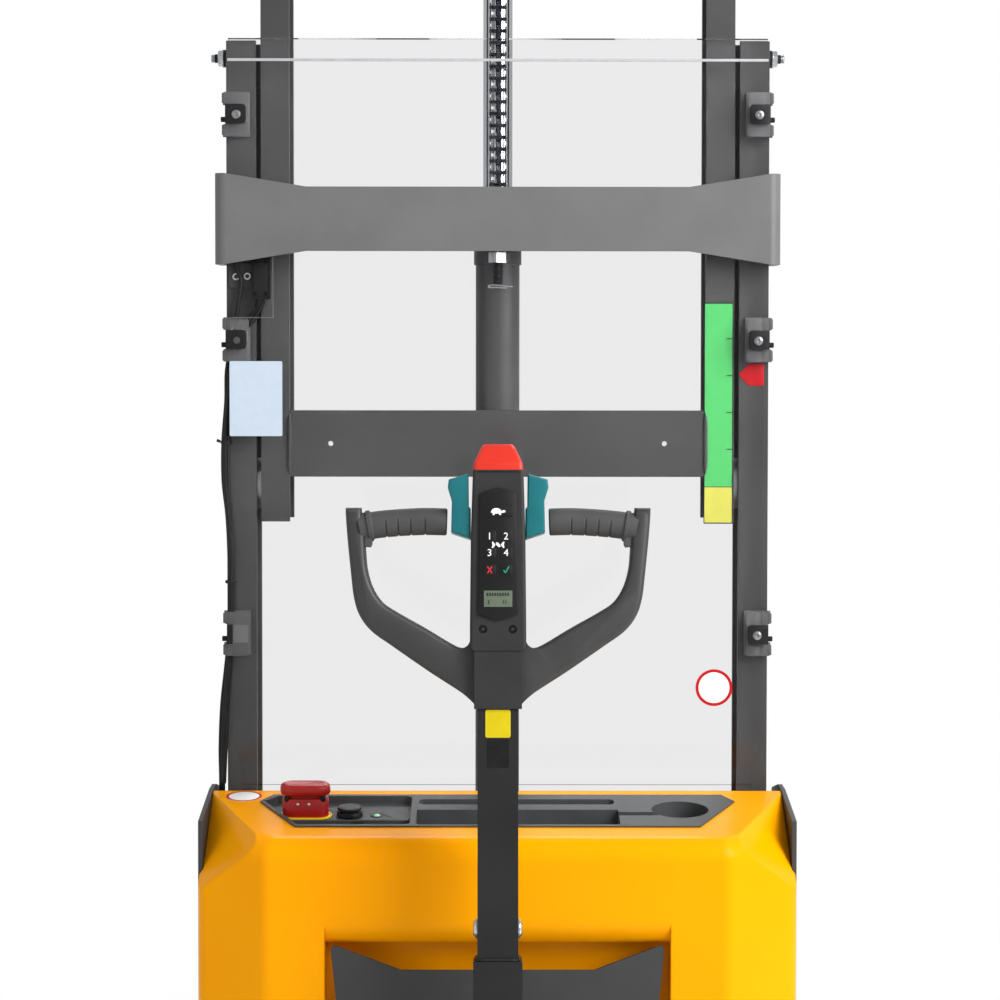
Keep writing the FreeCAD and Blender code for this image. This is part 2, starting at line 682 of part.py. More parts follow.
def makeGuards():
    thick = named("guardThick")
    back = -named("guardBack")
    half = named("guardHalf")
    bend = named("mastTop") - 17
    meet = (named("yokeLow") + named("yokeHigh")) / 2
    body = newBody("guard_upper")
    pad(outline(body, "upper_sheet", "XZ", back, [
        (-half, meet + 2), (half, meet + 2), (half, bend), (-half, bend)]), thick)
    pad(outline(body, "upper_strip", "YZ", -half, [
        (back, bend), (back + thick, bend), (back + thick + 9, bend + 17), (back + 9, bend + 19)]),
        2 * half)
    register(body, "guard_upper")
    body = newBody("guard_lower")
    half = named("guardLowerHalf")
    foot = named("guardFoot")
    fold = named("guardFold")
    step = named("guardStep")
    fall = step * 4
    pad(outline(body, "lower_sheet", "YZ", -half, [
        (back, meet - 2), (back, fold), (back + step, fold - fall), (back + step, foot),
        (back + step + thick, foot), (back + step + thick, fold - fall), (back + thick, fold),
        (back + thick, meet - 2)]), 2 * half)
    for number, side in enumerate((-1, 1)):
        points = [(half * side + side, foot - 1), (half * side - 12 * side, foot - 1),
                  (half * side - 12 * side, fold - fall), (half * side, fold), (half * side + side, fold)]
        if side < 0:
            points.reverse()
        pocket(outline(body, f"lower_trim{number}", "XZ", back - 1, points[::-1]), step + thick + 2)
    pocket(outline(body, "switch_cutout", "XZ", back - 1, [
        (-half - 1, 1456), (-302, 1456), (-302, meet - 40), (-half - 1, meet - 40)]), thick + 2)
    register(body, "guard_lower")


def makeClips():
    body = newBody("clips")
    out = named("clipOut")
    back = -named("guardBack") + named("guardThick")
    features = []
    for number in ("Upper", "Middle", "Lower"):
        high = named("clip" + number)
        top = named("clipHigh") / 2
        tab = box(body, f"clip_tab{number}", (out - named("clipWide"), -4, high - top),
                  (out - 4, 0, high + top))
        for lug, low in (("upper", high + 13), ("lower", high - top)):
            features.append(box(body, f"clip_{lug}{number}", (out - 5, -4, low), (out, 0, low + top - 13)))
        block = box(body, f"clip_block{number}", (out - 34, back + gap, high - 12), (out - 6, -4, high + 12))
        features += [tab, block]
    mirror(body, features)
    register(body, "guard_clips")


# A lead held along the mast: straight runs joined by arcs that touch both runs

def route(points, radii):
    edges = []
    start = points[0]
    for before, corner, after, radius in zip(points, points[1:], points[2:], radii):
        into = (corner - before).normalize()
        out = (after - corner).normalize()
        bend = into.getAngle(out)
        setback = radius * math.tan(bend / 2)
        first = corner - into * setback
        last = corner + out * setback
        middle = (out - into).normalize()
        centre = corner + middle * (radius / math.cos(bend / 2))
        edges.append(Part.LineSegment(start, first).toShape())
        edges.append(Part.Arc(first, centre - middle * radius, last).toShape())
        start = last
    edges.append(Part.LineSegment(start, points[-1]).toShape())
    return Part.Wire(edges)


def tube(points, radii, thick, sides):
    # The section is a regular polygon, so that the bends stay light.
    path = route(points, radii)
    course = (points[1] - points[0]).normalize()
    across = course.cross(Vector(0, 1, 0)).normalize()
    spins = [Rotation(course, 360 * i / sides) for i in range(sides)]
    corners = [points[0] + spin.multVec(across) * (thick / 2) for spin in spins]
    return path.makePipeShell([Part.makePolygon(corners + corners[:1])], True, False)


def makeCables():
    # The limit switch on its plate and the leads that run from it down the mast's side.
    thick = named("leadOut").value
    side = -mastHalf.value - thick / 2 - 0.8
    low = named("switchLow").value
    at = -named("switchAt").value
    switch = Part.makeBox(24, 12, 57, Vector(at - 12, -17, low))
    switchPlate = Part.makeBox(16, 5, 40, Vector(at - 26, -5, low + 8))
    shapes = [switch.fuse(switchPlate)]
    foot = named("sideTop").value - 38
    for shift, bow in ((0, 0), (7, 6.5)):
        points = [Vector(at - 4 + shift, -11, low), Vector(at - 5 + shift, -11, low - 80),
                  Vector(side, shift - 10, low - 180), Vector(side, 6 + shift, low - 330),
                  Vector(side - bow, 8 + shift, low - 610), Vector(side - bow, 8 + shift, foot)]
        shapes.append(tube(points, [90, 90, 90, 200], thick, 8))
    part = doc.addObject("Part::Feature", "cables")
    part.Shape = Part.makeCompound(shapes)
    register(part, "mast_cables")


# Inner mast, raised

def makeInnerMast():
    body = newBody("inner")
    section = channel(body, "inner_channel", innerHalf, named("innerFlange"), innerFoot,
                      named("innerLength"))
    mirror(body, [section])
    register(body, "inner_mast_channels")

    body = newBody("ties")
    low = named("tieLow")
    hole = named("tieHole")
    middle = low + named("tieHeight") / 2
    flange = innerHalf - named("innerFlange")
    box(body, "lower_tie", (-flange, 0, low), (flange, named("tieThick"), low + named("tieHeight")))
    pocket(rings(body, "tie_holes", "XZ", -1, [(named("tieHoleGap") / 2, middle, hole),
                                              (-named("tieHoleGap") / 2, middle, hole)]),
           named("tieThick") + 2)
    rear = mastWall + 3
    top = innerTop - named("headHeight")
    notch = named("sheaveWide") / 2 + clear + 1
    notchLow = sheaveHigh - named("sheaveRim") - clear * 2
    front = rear + named("headTie")
    box(body, "head_tie", (-flange, rear, top), (flange, front, innerTop))
    box(body, "head_end_left", (-flange, 0, top), (30 - flange, front, innerTop))
    box(body, "head_end_right", (flange - 30, 0, top), (flange, front, innerTop))
    pocket(outline(body, "head_notch", "XZ", 0, [
        (-notch, notchLow), (notch, notchLow), (notch, innerTop + 1), (-notch, innerTop + 1)]), 40)
    register(body, "inner_mast_ties")

    body = newBody("inner_rollers")
    across = mastDepth - 2 * mastWall - named("rollerRun") * 2
    features = []
    wheel = pad(rings(body, "mast_roller", "YZ", innerHalf + 1, [(mastDepth / 2, innerFoot + 50, across)]),
                named("rollerWide"))
    boss = pad(rings(body, "mast_roller_boss", "YZ", innerHalf, [(mastDepth / 2, innerFoot + 50, 30)]), 1)
    features += [wheel, boss]
    mirror(body, features)
    register(body, "inner_mast_rollers")


def makeRod():
    high = sheaveHigh
    base = high - named("sheaveRim") - 45
    body = newBody("rod")
    axis = named("cylinderBack")
    pad(rings(body, "rod_bar", "XY", base - named("rodLength"), [(0, axis, named("rodOut"))]),
        named("rodLength"))
    register(body, "lift_rod")

    body = newBody("clevis")
    wide = named("sheaveWide") / 2 + 1
    rear = mastWall + 3 + named("headTie")
    box(body, "clevis_block", (-wide - 8, rear, base), (wide + 8, axis * 2 - rear, base + 38))
    ear = pad(outline(body, "clevis_ear", "YZ", wide, [
        (rear, base + 38), (axis * 2 - rear, base + 38), (axis + 16, high + 20), (axis - 16, high + 20)]), 8)
    mirror(body, [ear])
    pad(rings(body, "clevis_pin", "YZ", -wide, [(axis, high, named("sheavePin"))]), 2 * wide)
    register(body, "pulley_yoke")

    body = newBody("sheave")
    half = named("sheaveWide") / 2
    groove = named("chainWide") / 2 + 0.6
    bore = named("sheavePin") / 2 + 0.05
    rim = named("sheaveRim")
    floor = named("cylinderBack") - named("chainDeep") / 2 - gap
    turn(outline(body, "sheave_section", "XZ", 0, [
        (-half, bore), (half, bore), (half, rim), (groove, rim), (groove, floor), (-groove, floor),
        (-groove, rim), (-half, rim)]), "H_Axis")
    bind(body, "Placement.Base.z", high)
    register(body, "chain_pulley", mastBack + axis)


# Carriage and forks, raised twice as far as the inner mast

def makeCarriage():
    body = newBody("carriage")
    back = named("carriageBack")
    bar = named("carriageBar")
    half = named("carriageHalf")
    thick = named("carriagePlate")
    lift = carriageLift
    rear = named("carriageRear")
    lugTop = named("lugTop")
    low = lift + named("carriageLow")
    high = lift + named("carriageHigh")
    sidePlate = pad(outline(body, "carriage_side", "YZ", half - thick, [
        (rear, low), (back + bar, low), (back + bar, high), (rear, high)]), thick)
    mirror(body, [sidePlate])
    for number, start in enumerate((low + 10, high - 160)):
        box(body, f"carriage_bar{number}", (-half, back, start), (half, back + bar, start + 80))
    box(body, "chain_lug", (-22, back - 16, lift + lugTop - 70), (22, back, lift + lugTop - gap))
    register(body, "carriage_frame")

    body = newBody("carriage_rollers")
    across = mastDepth - 2 * mastWall - named("rollerRun") * 2
    features = []
    for number, high in enumerate((low + 45, high - 50)):
        circle = [(mastDepth / 2, high, across)]
        boss = [(mastDepth / 2, high, 30)]
        inside = innerWeb - named("rollerRun") - named("carriageWheel")
        features.append(pad(rings(body, f"carriage_roller{number}", "YZ", inside, circle),
                            named("carriageWheel")))
        features.append(pad(rings(body, f"carriage_boss{number}", "YZ", half, boss), inside - half))
    mirror(body, features)
    register(body, "carriage_rollers")


def makeFork(name, side):
    body = newBody(name)
    half = named("forkWide") / 2
    wall = named("forkPlate")
    top = named("forkTop") + carriageLift
    tip = named("forkReach")
    heel = named("forkHeel")
    back = named("carriageBack") + named("carriageBar")
    centre = armAt * side
    low = top - named("forkDrop")
    pad(outline(body, name + "_side", "YZ", centre - half, [
        (back, low), (tip - 120, low), (tip, top - 22), (tip, top), (heel + 30, top), (heel, top + 40),
        (heel, named("shankHigh") + carriageLift), (back, named("shankHigh") + carriageLift)]),
        named("forkWide"))
    pocket(outline(body, name + "_inside", "XY", low - 1, [
        (centre - half + wall, back - 1), (centre + half - wall, back - 1),
        (centre + half - wall, tip - 60),
        (centre + 45, tip - 12), (centre - 45, tip - 12), (centre - half + wall, tip - 60)]),
        named("forkDrop") - wall + 1)
    for number, edge in enumerate((-1, 1)):
        corner = centre + half * edge
        pocket(outline(body, f"{name}_tip{number}", "XY", low - 1, [
            (corner + edge, tip - 70), (corner + edge, tip + 1), (corner - 55 * edge, tip + 1)]
            if edge < 0 else [
            (corner + edge, tip - 70), (corner - 55 * edge, tip + 1), (corner + edge, tip + 1)]),
            named("forkDrop") + 2)
    register(body, name)


# Hood, apron, tray and controls

def makeHood():
    body = newBody("hood")
    wall = named("hoodWall")
    half = hoodHalf
    deep = named("hoodDeep")
    across = named("hoodCorner")
    front = -named("hoodFront")
    flatHalf = half - across
    bottom = shelfTop
    high = named("deckFront") + 5
    back = hoodBack
    pad(outline(body, "hood_plan", "XY", bottom, [
        (-half, front), (-half, back + deep), (-flatHalf, back), (flatHalf, back), (half, back + deep),
        (half, front)]), high - bottom)
    rounded(body, named("crease"), lambda edge: along(edge, "z") and edge.BoundBox.YMin < (front - 5).value)
    pocket(outline(body, "deck_slope", "YZ", -half - 1, [
        (back - 1, named("deckRear") - deckRise), (front + 1, named("deckFront") + deckRise),
        (front + 1, high + 1), (back - 1, high + 1)]), 2 * half + 2)
    facets(body)
    inner = half - named("hoodRebate")
    for number, side in enumerate((-1, 1)):
        rear = -named("sideBack") - 1.2
        points = [(inner * side, rear), ((half + 1) * side, rear), ((half + 1) * side, front + 1),
                  (inner * side, front + 1)]
        if side < 0:
            points.reverse()
        pocket(outline(body, f"hood_rebate{number}", "XY", bottom - 1, points), high - bottom + 2)
    scoop = named("scoopHalf")
    ceiling = named("scoopTop")
    pocket(outline(body, "scoop", "XZ", back - 1, [
        (-scoop, bottom - 1), (scoop, bottom - 1), (scoop, ceiling), (-scoop, ceiling)]),
        named("scoopDeep") + 1)
    rounded(body, named("hoodRound"), lambda edge: near(edge.BoundBox.YMin, back) and along(edge, "x")
            and edge.BoundBox.ZMin > named("deckRear").value - 5)
    rounded(body, named("scoopLip"), lambda edge: near(edge.BoundBox.YMax, back) and along(edge, "x")
            and near(edge.BoundBox.ZMin, ceiling))
    low = back + wall
    pocket(outline(body, "hood_inside", "XY", bottom - 1, [
        (wall - inner, front - wall), (wall - inner, back + deep + wall * 2), (wall - flatHalf, low + 2),
        (-scoop - wall, low), (-scoop - wall, low + named("scoopDeep")),
        (scoop + wall, low + named("scoopDeep")), (scoop + wall, low), (flatHalf - wall, low + 2),
        (inner - wall, back + deep + wall * 2), (inner - wall, front - wall)]), ceiling + wall - bottom + 1)
    upper = flatHalf + wall * 3
    step = low + named("scoopLip")
    pocket(outline(body, "hood_upper_inside", "XY", ceiling + wall - 1, [
        (wall * 3 - half, front - wall), (wall * 3 - half, front - across - wall * 5), (-upper, step),
        (upper, step), (half - wall * 3, front - across - wall * 5), (half - wall * 3, front - wall)]),
        named("deckRear") - named("hoodRound") - wall - ceiling)
    basins(body, "deck_hole", named("trayWall") + gap, asSize(-58), 90)
    register(body, "hood_shell")


def facets(body):
    # The flat facets between the deck and the hood's sides, wide at the rear.
    rise = named("facetRise")
    top = named("deckFront") + named("facetOver")
    out = asSize(12)
    ends = []
    for name, at, inset in (("facet_rear", hoodBack - 1, named("facetRear")),
                            ("facet_front", 1 - named("hoodFront"), named("facetFront"))):
        ends.append(outline(body, name, "XZ", at, [
            (hoodHalf - inset, top), (hoodHalf + out, top - (inset + out) * rise), (hoodHalf + out, top)]))
    facet = body.newObject("PartDesign::SubtractiveLoft", "facet")
    facet.Profile = (ends[0], [""])
    facet.Sections = [(ends[1], [""])]
    facet.Ruled = True
    doc.recompute()
    mirror(body, [facet])


def onDeck(sketch, high):
    # Lays a level sketch on the sloping deck; its second axis runs from the hood's front edge.
    tilt = named("deckTilt").value
    up = Rotation(Vector(1, 0, 0), tilt).multVec(Vector(0, 0, 1))
    sketch.AttachmentOffset = Placement(Vector(0, 0, 0), Rotation(Vector(1, 0, 0), tilt))
    bind(sketch, "AttachmentOffset.Base.y", asSize(high) * up.y - named("hoodFront"))
    bind(sketch, "AttachmentOffset.Base.z", asSize(high) * up.z + named("deckFront"))
    return sketch


def recess(body, name, kind, high, grow):
    # The outline of one of the tray's basins on the deck, grown all round.
    right = named(kind + "Right") + grow
    rear = named("hoodFront") - named(kind + "Near") - grow
    front = named("hoodFront") - named(kind + "Far") + grow
    tip = named("hoodFront") - named("trayTip")
    end = named("trayLip") - grow
    if kind == "panel":
        left = [(end - named("trayFarHalf"), front), (end - named("trayTipHalf"), tip),
                (slantAt(rear) + end, rear)]
    elif kind == "gutter":
        left = [(slantAt(front) + end, front), (slantAt(rear) + end, rear)]
    else:
        left = [(named(kind + "Left") - grow, front), (named(kind + "Left") - grow, rear)]
    return onDeck(outline(body, name, "XY", 0, [(right, rear), (right, front)] + left), high)


def slantAt(along):
    # The tray's slanted left edge at a distance along the deck.
    lean = (named("trayTipHalf") - named("trayNearHalf")) / (named("trayNear") - named("trayTip"))
    return -named("trayTipHalf") - (along - named("hoodFront") + named("trayTip")) * lean


def cupRing(body, name, high, grow):
    ring = (named("cupAt"), named("hoodFront") - named("cupBack"), named("cupOut") + 2 * grow)
    return onDeck(rings(body, name, "XY", 0, [ring]), high)


def basins(body, name, grow, high, deep):
    # Holes for the tray's basins, cut from a height above the deck.
    for kind in ("trough", "slot", "panel", "groove"):
        pocket(recess(body, f"{name}_{kind}", kind, high, grow), deep)
    pocket(cupRing(body, f"{name}_cup", high, grow), deep)


def deckHigh(back):
    # Height of the sloping deck at a distance behind the mast.
    return named("deckFront") - (asSize(back) - named("hoodFront")) * deckRise


def makeTray():
    body = newBody("tray")
    far = named("hoodFront") - named("trayFar")
    close = named("hoodFront") - named("trayNear")
    wall = named("trayWall")
    rim = named("trayRim")
    tip = named("hoodFront") - named("trayTip")
    side = [(named("trayNearHalf"), close), (named("trayTipHalf"), tip), (named("trayFarHalf"), far)]
    pad(onDeck(outline(body, "tray_rim", "XY", 0,
                       side + [(-across, up) for across, up in reversed(side)]), gap), rim)
    for kind, radius in basinKinds:
        deep = named(kind + "Deep")
        pad(recess(body, f"tray_{kind}", kind, -deep - wall, wall), deep + wall + rim / 2)
    pad(cupRing(body, "tray_cup", -named("cupDeep") - wall, wall), named("cupDeep") + wall + rim / 2)
    for kind, radius in basinKinds:
        pocket(recess(body, f"tray_{kind}_inside", kind, -named(kind + "Deep"), asSize(0)), 60)
        if radius:
            ends = [named(kind + "Right")] + ([named(kind + "Left")] if kind in ("trough", "slot") else [])
            rounded(body, radius, lambda edge: upright(edge) and any(
                near(edge.BoundBox.XMin, end) for end in ends) and edge.Length > 4)
    pocket(cupRing(body, "tray_cup_inside", -named("cupDeep"), asSize(0)), 60)
    register(body, "console_tray")


def upright(edge):
    # True for a straight edge that runs across the deck's slope.
    if len(edge.Vertexes) != 2 or not isinstance(edge.Curve, (Part.Line, Part.LineSegment)):
        return False
    return abs(edge.Vertexes[1].Z - edge.Vertexes[0].Z) > 0.98 * edge.Length


def pill(body, name, at, wide, deep):
    # A rounded bar outline, wide across x, about a point on the deck.
    sketch = attach(body, name, "XY", at)
    wide = asSize(wide)
    deep = asSize(deep)
    middle = (wide - deep) / 2
    radius = deep / 2
    run = middle.value
    end = radius.value
    sketch.addGeometry([
        Part.LineSegment(Vector(-run, -end, 0), Vector(run, -end, 0)),
        Part.ArcOfCircle(Part.Circle(Vector(run, 0, 0), Vector(0, 0, 1), end), -math.pi / 2, math.pi / 2),
        Part.LineSegment(Vector(run, end, 0), Vector(-run, end, 0)),
        Part.ArcOfCircle(Part.Circle(Vector(-run, 0, 0), Vector(0, 0, 1), end),
                         math.pi / 2, 3 * math.pi / 2),
    ], False)
    sketch.addConstraint([Sketcher.Constraint("Tangent", i, 2, (i + 1) % 4, 1) for i in range(4)])
    sketch.addConstraint(Sketcher.Constraint("DistanceX", -1, 1, 1, 3, run))
    sketch.addConstraint(Sketcher.Constraint("DistanceX", -1, 1, 3, 3, -run))
    sketch.addConstraint(Sketcher.Constraint("DistanceY", -1, 1, 1, 3, 0))
    sketch.addConstraint(Sketcher.Constraint("Radius", 1, end))
    sketch.addConstraint(Sketcher.Constraint("Horizontal", 0))
    bind(sketch, "Constraints[4]", middle)
    bind(sketch, "Constraints[5]", -middle)
    bind(sketch, "Constraints[7]", radius)
    return sketch


def onPanel(body, name, at):
    # Stands a control on the floor of the tray's panel, square to the deck.
    bind(body, "Placement.Base.x", at)
    bind(body, "Placement.Base.z", deckHigh(named("stopBack")) - named("panelDeep") + gap)
    body.Placement = Placement(body.Placement.Base, Rotation(Vector(1, 0, 0), named("deckTilt").value))
    register(body, name, mastBack - named("stopBack"))


def makeControls():
    body = newBody("stop")
    wide = named("stopWide")
    deep = named("stopDeep")
    for name, at, high, less in (("ring", 0, 2, -4), ("base", 2, 24, 6), ("stem", 26, 5, 16),
                                 ("head", 31, 14, 0)):
        pad(pill(body, "stop_" + name, at, wide - less, deep - less), high)
    onPanel(body, "emergency_stop", named("stopAt"))
    body = newBody("key")
    pad(rings(body, "key_collar", "XY", 0, [(0, 0, named("keyOut"))]), 9)
    pad(rings(body, "key_barrel", "XY", 9, [(0, 0, named("keyOut") - 10)]), 4)
    onPanel(body, "key_switch", named("keyAt"))


def makeApron():
    body = newBody("apron")
    half = named("apronHalf")
    foot = half - named("apronTaper")
    flat = named("apronFlat")
    rear = hoodBack + clear
    arch = named("tillerArm") + named("archRoom")
    archTop = named("tillerPivot") + named("archRoom") + 10
    pad(outline(body, "apron_sheet", "XZ", rear, [
        (-foot, shelfTop), (-arch, shelfTop), (-arch, archTop - 40), (40 - arch, archTop),
        (arch - 40, archTop), (arch, archTop - 40), (arch, shelfTop), (foot, shelfTop),
        (half, named("apronTip")), (flat, named("apronMid")), (-flat, named("apronMid")),
        (-half, named("apronTip"))]), named("apronThick"))
    rounded(body, 6, lambda edge: along(edge, "y") and near(abs(edge.BoundBox.XMin), half))
    register(body, "hood_apron")


# Drive unit: spindle through the shelf, tiller lugs above it, motor and wheel fork below

def makeDrive():
    body = newBody("drive")
    pivotUp = named("tillerPivot")
    arm = named("tillerArm")
    under = shelfLow - clear
    top = shelfTop + gap
    pad(rings(body, "turntable", "XY", top, [(0, 0, 120)]), 14)
    pad(rings(body, "spindle_bar", "XY", under - 8, [(0, 0, named("spindle"))]), top - under + 8)
    pad(rings(body, "motor_plate", "XY", under - 8, [(0, 0, named("motorOut"))]), 8)
    lugIn = named("sleeveWide") / 2 + 2
    lug = pad(outline(body, "tiller_lug", "YZ", lugIn, [
        (40, top + 14), (-60, top + 14), (-arm - 22, pivotUp - 12), (-arm - 22, pivotUp + 22),
        (-arm + 22, pivotUp + 22), (40, top + 40)]), 10)
    box(body, "lug_base", (-lugIn - 10, -60, top), (lugIn + 10, 40, top + 14))
    mirror(body, [lug])
    pad(rings(body, "tiller_pin", "YZ", -lugIn, [(-arm, pivotUp, 20)]), 2 * lugIn)
    legIn = named("driveWide") / 2 + clear
    low = named("driveOut") / 2
    pad(outline(body, "gear_leg", "YZ", legIn, [
        (-30, low - 34), (30, low - 34), (44, low), (52, under - 8), (-52, under - 8), (-44, low)]), 36)
    pad(rings(body, "drive_axle", "YZ", -named("driveWide") / 2, [(0, low, named("driveAxle"))]),
        legIn + named("driveWide") / 2)
    register(body, "drive_bracket", mastBack - named("steerBack"))
    body = newBody("motor")
    motorTop = under - 8
    pad(rings(body, "motor_can", "XY", motorTop - named("motorHigh"), [(0, 0, named("motorOut"))]),
        named("motorHigh"))
    pocket(outline(body, "motor_gear_side", "XY", 0, [
        (legIn - gap, -100), (100, -100), (100, 100), (legIn - gap, 100)]), 400)
    register(body, "drive_motor", mastBack - named("steerBack"))


# Tiller, drawn upright from its pivot and then leant towards the mast

def placeTiller(body, name):
    bind(body, "Placement.Base.z", named("tillerPivot"))
    base = body.Placement.Base
    body.Placement = Placement(base, Rotation(Vector(1, 0, 0), -named("tillerLean").value))
    register(body, name, mastBack - named("steerBack") - named("tillerArm"))


def makeTiller():
    body = newBody("tiller")
    wide = named("tubeWide") / 2
    sleeve = named("sleeveWide") / 2
    long = named("sleeveLong")
    box(body, "tiller_tube", (-wide, -wide, long), (wide, wide, named("headLow")))
    box(body, "tiller_sleeve", (-sleeve, -sleeve, -25), (sleeve, sleeve, long))
    pocket(rings(body, "tiller_bore", "YZ", -sleeve - 1, [(0, 0, 20.1)]), 2 * sleeve + 2)
    placeTiller(body, "tiller_arm")

    body = newBody("head")
    half = named("headHalf")
    low = named("headLow")
    high = named("headHigh")
    deep = named("headDeep") / 2
    grip = named("gripAt")
    seam = named("headSeam")
    neck = named("neckHalf")
    wide = named("headWide")
    side = [(neck, low), (neck, seam), (wide, seam + 5), (wide, seam + 33), (wide - 1, grip - 16),
            (half, high)]
    pad(outline(body, "head_front", "XZ", -deep, side + [(-across, up) for across, up in reversed(side)]),
        named("headDeep"))
    rounded(body, 4, lambda edge: upright(edge) and near(abs(edge.BoundBox.YMin), deep)
            and edge.BoundBox.ZMin > (seam + 1).value)
    placeTiller(body, "tiller_head")

    body = newBody("button")
    pad(outline(body, "button_front", "XZ", 4 - deep, [
        (-half, high), (half, high), (20, high + 34), (-20, high + 34)]), named("headDeep") - 8)
    placeTiller(body, "reversing_button")

    body = newBody("keypad")
    pad(outline(body, "keypad_face", "XZ", -deep - 3 - gap, [
        (-23.6, low + 117), (23.6, low + 117), (23.6, high - 20), (-23.6, high - 20)]), 3)
    placeTiller(body, "tiller_keypad")

    body = newBody("rockers")
    rocker = pad(outline(body, "rocker", "XZ", 6 - deep, [
        (wide - 0.6, grip - 22), (58.3, grip - 14), (57.5, grip + 25), (62.7, grip + 42), (61.4, grip + 52),
        (half + 0.4, grip + 60)]), 2 * deep - 12)
    mirror(body, [rocker])
    placeTiller(body, "tiller_rockers")


def makeLoop():
    # Two flat arms that rise from the neck to the outer ends of the grips.
    body = newBody("loop")
    neck = named("neckHalf") + gap
    side = named("headWide") + gap
    out = named("loopHalf")
    low = named("headLow")
    seam = named("headSeam")
    grip = named("gripAt")
    arm = pad(outline(body, "loop_arm", "XZ", -named("loopDeep") / 2, [
        (neck, low + 6), (153, low + 95), (160, low + 100), (171, low + 117), (out - 12, low + 136),
        (out - 6, low + 167), (out, grip - 3), (out, grip + 15), (out - 18, grip + 15), (out - 24, grip),
        (out - 24, grip - 32), (158, low + 157), (152, low + 141), (137, low + 127), (56, low + 78),
        (46, low + 76), (side, low + 88), (side, seam + 5), (neck, seam)]), named("loopDeep"))
    rounded(body, named("loopRound"), lambda edge: near(edge.BoundBox.YMin, edge.BoundBox.YMax)
            and near(abs(edge.BoundBox.YMin), named("loopDeep") / 2) and edge.BoundBox.XMax > 50)
    mirror(body, [arm, body.Tip])
    placeTiller(body, "tiller_loop")

    # The grips arch gently between the rockers and the loop.
    bars = []
    start = named("headHalf").value + 31.3
    end = named("loopHalf").value - 26
    high = named("gripAt").value
    for side in (-1, 1):
        points = [Vector(side * start, 0, high), Vector(side * 110, 0, high + 2),
                  Vector(side * end, 0, high - 8)]
        bars.append(tube(points, [120], named("gripOut").value, 20))
    part = doc.addObject("Part::Feature", "grips")
    part.Shape = Part.makeCompound(bars)
    placeTiller(part, "tiller_grips")


# Casters and load rollers

def makeCasters():
    for name, side in (("left", -1), ("right", 1)):
        body = newBody("caster_fork_" + name)
        wheel = named("casterOut") / 2
        half = named("casterWide") / 2
        deckLow = named("casterDeck") - 8
        crown = wheel * 2 + clear
        trail = named("casterTrail")
        box(body, f"caster_crown_{name}", (-half - 8, -46, crown), (half + 8, 30, crown + 12))
        pad(rings(body, f"caster_swivel_{name}", "XY", crown + 12, [(0, 0, 54)]),
            deckLow - gap - crown - 12)
        ear = pad(outline(body, f"caster_ear_{name}", "YZ", half + 3, [
            (-trail - 15, wheel - 15), (-trail + 15, wheel - 15), (30, crown), (-46, crown)]), 5)
        mirror(body, [ear])
        pad(rings(body, f"caster_axle_{name}", "YZ", -half - 3, [(-trail, wheel, named("casterAxle"))]),
            2 * half + 6)
        bind(body, "Placement.Base.x", casterAt * side)
        register(body, "caster_fork_" + name, mastBack - named("casterBack"))
        roller("caster_wheel_" + name, casterAt * side, -named("casterBack") - trail, wheel,
               named("casterOut"), named("casterWide"), named("casterAxle") + pinPlay, 6)
        roller("load_roller_" + name, armAt * side, named("rollerAt"), named("rollerOut") / 2,
               named("rollerOut"), named("armWide") - 2 * named("armWall") - 6,
               named("rollerAxle") + pinPlay, 0)
    roller("drive_wheel", asSize(0), -named("steerBack"), named("driveOut") / 2, named("driveHub"),
           named("driveWide") - 4, named("driveAxle") + pinPlay, 0)
    roller("drive_tyre", asSize(0), -named("steerBack"), named("driveOut") / 2, named("driveOut"),
           named("driveWide"), named("driveHub"), 5)


makeChassis()
makeSupportArms()
makeBattery()
makeOuterMast()
makeYoke()
makeAdjusters()
makeCylinder()
makeAnchor()
makeChain()
makeGuards()
makeClips()
makeCables()
makeInnerMast()
makeRod()
makeCarriage()
makeFork("fork_left", -1)
makeFork("fork_right", 1)
makeHood()
makeTray()
makeControls()
makeApron()
makeDrive()
makeTiller()
makeLoop()
makeCasters()
doc.recompute()

for item in doc.Objects:
    if "Invalid" in item.State or "Error" in item.State:
        raise RuntimeError(f"{item.Name} did not compute")
os.makedirs("parts", exist_ok=True)
for name, item in nodes.items():
    if item.Shape.isNull() or not item.Shape.isValid():
        raise RuntimeError(f"{name} has no valid shape")
for name, item in nodes.items():
    item.Shape.exportStep(f"parts/{name}.step")
print(len(nodes), "nodes written")
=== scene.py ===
import bpy
import bmesh
import math
from mathutils import Matrix, Vector


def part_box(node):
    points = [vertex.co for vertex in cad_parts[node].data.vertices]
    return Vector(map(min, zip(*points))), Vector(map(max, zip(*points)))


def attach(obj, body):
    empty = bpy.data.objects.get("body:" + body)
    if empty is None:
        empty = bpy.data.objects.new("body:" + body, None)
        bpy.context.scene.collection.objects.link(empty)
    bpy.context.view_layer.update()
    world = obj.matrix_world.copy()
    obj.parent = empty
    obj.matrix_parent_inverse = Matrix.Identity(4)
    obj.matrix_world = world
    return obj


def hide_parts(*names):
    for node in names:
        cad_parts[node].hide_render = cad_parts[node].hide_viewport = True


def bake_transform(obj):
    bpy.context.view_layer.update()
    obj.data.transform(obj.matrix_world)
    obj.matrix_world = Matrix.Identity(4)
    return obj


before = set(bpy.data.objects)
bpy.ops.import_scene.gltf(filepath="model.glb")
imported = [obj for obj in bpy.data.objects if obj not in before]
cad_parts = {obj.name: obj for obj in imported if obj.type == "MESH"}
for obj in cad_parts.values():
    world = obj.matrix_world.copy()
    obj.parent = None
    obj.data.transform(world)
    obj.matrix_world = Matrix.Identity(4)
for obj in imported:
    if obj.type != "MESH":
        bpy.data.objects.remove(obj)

scene = bpy.context.scene
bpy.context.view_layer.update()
print("stage 0: frame loaded")


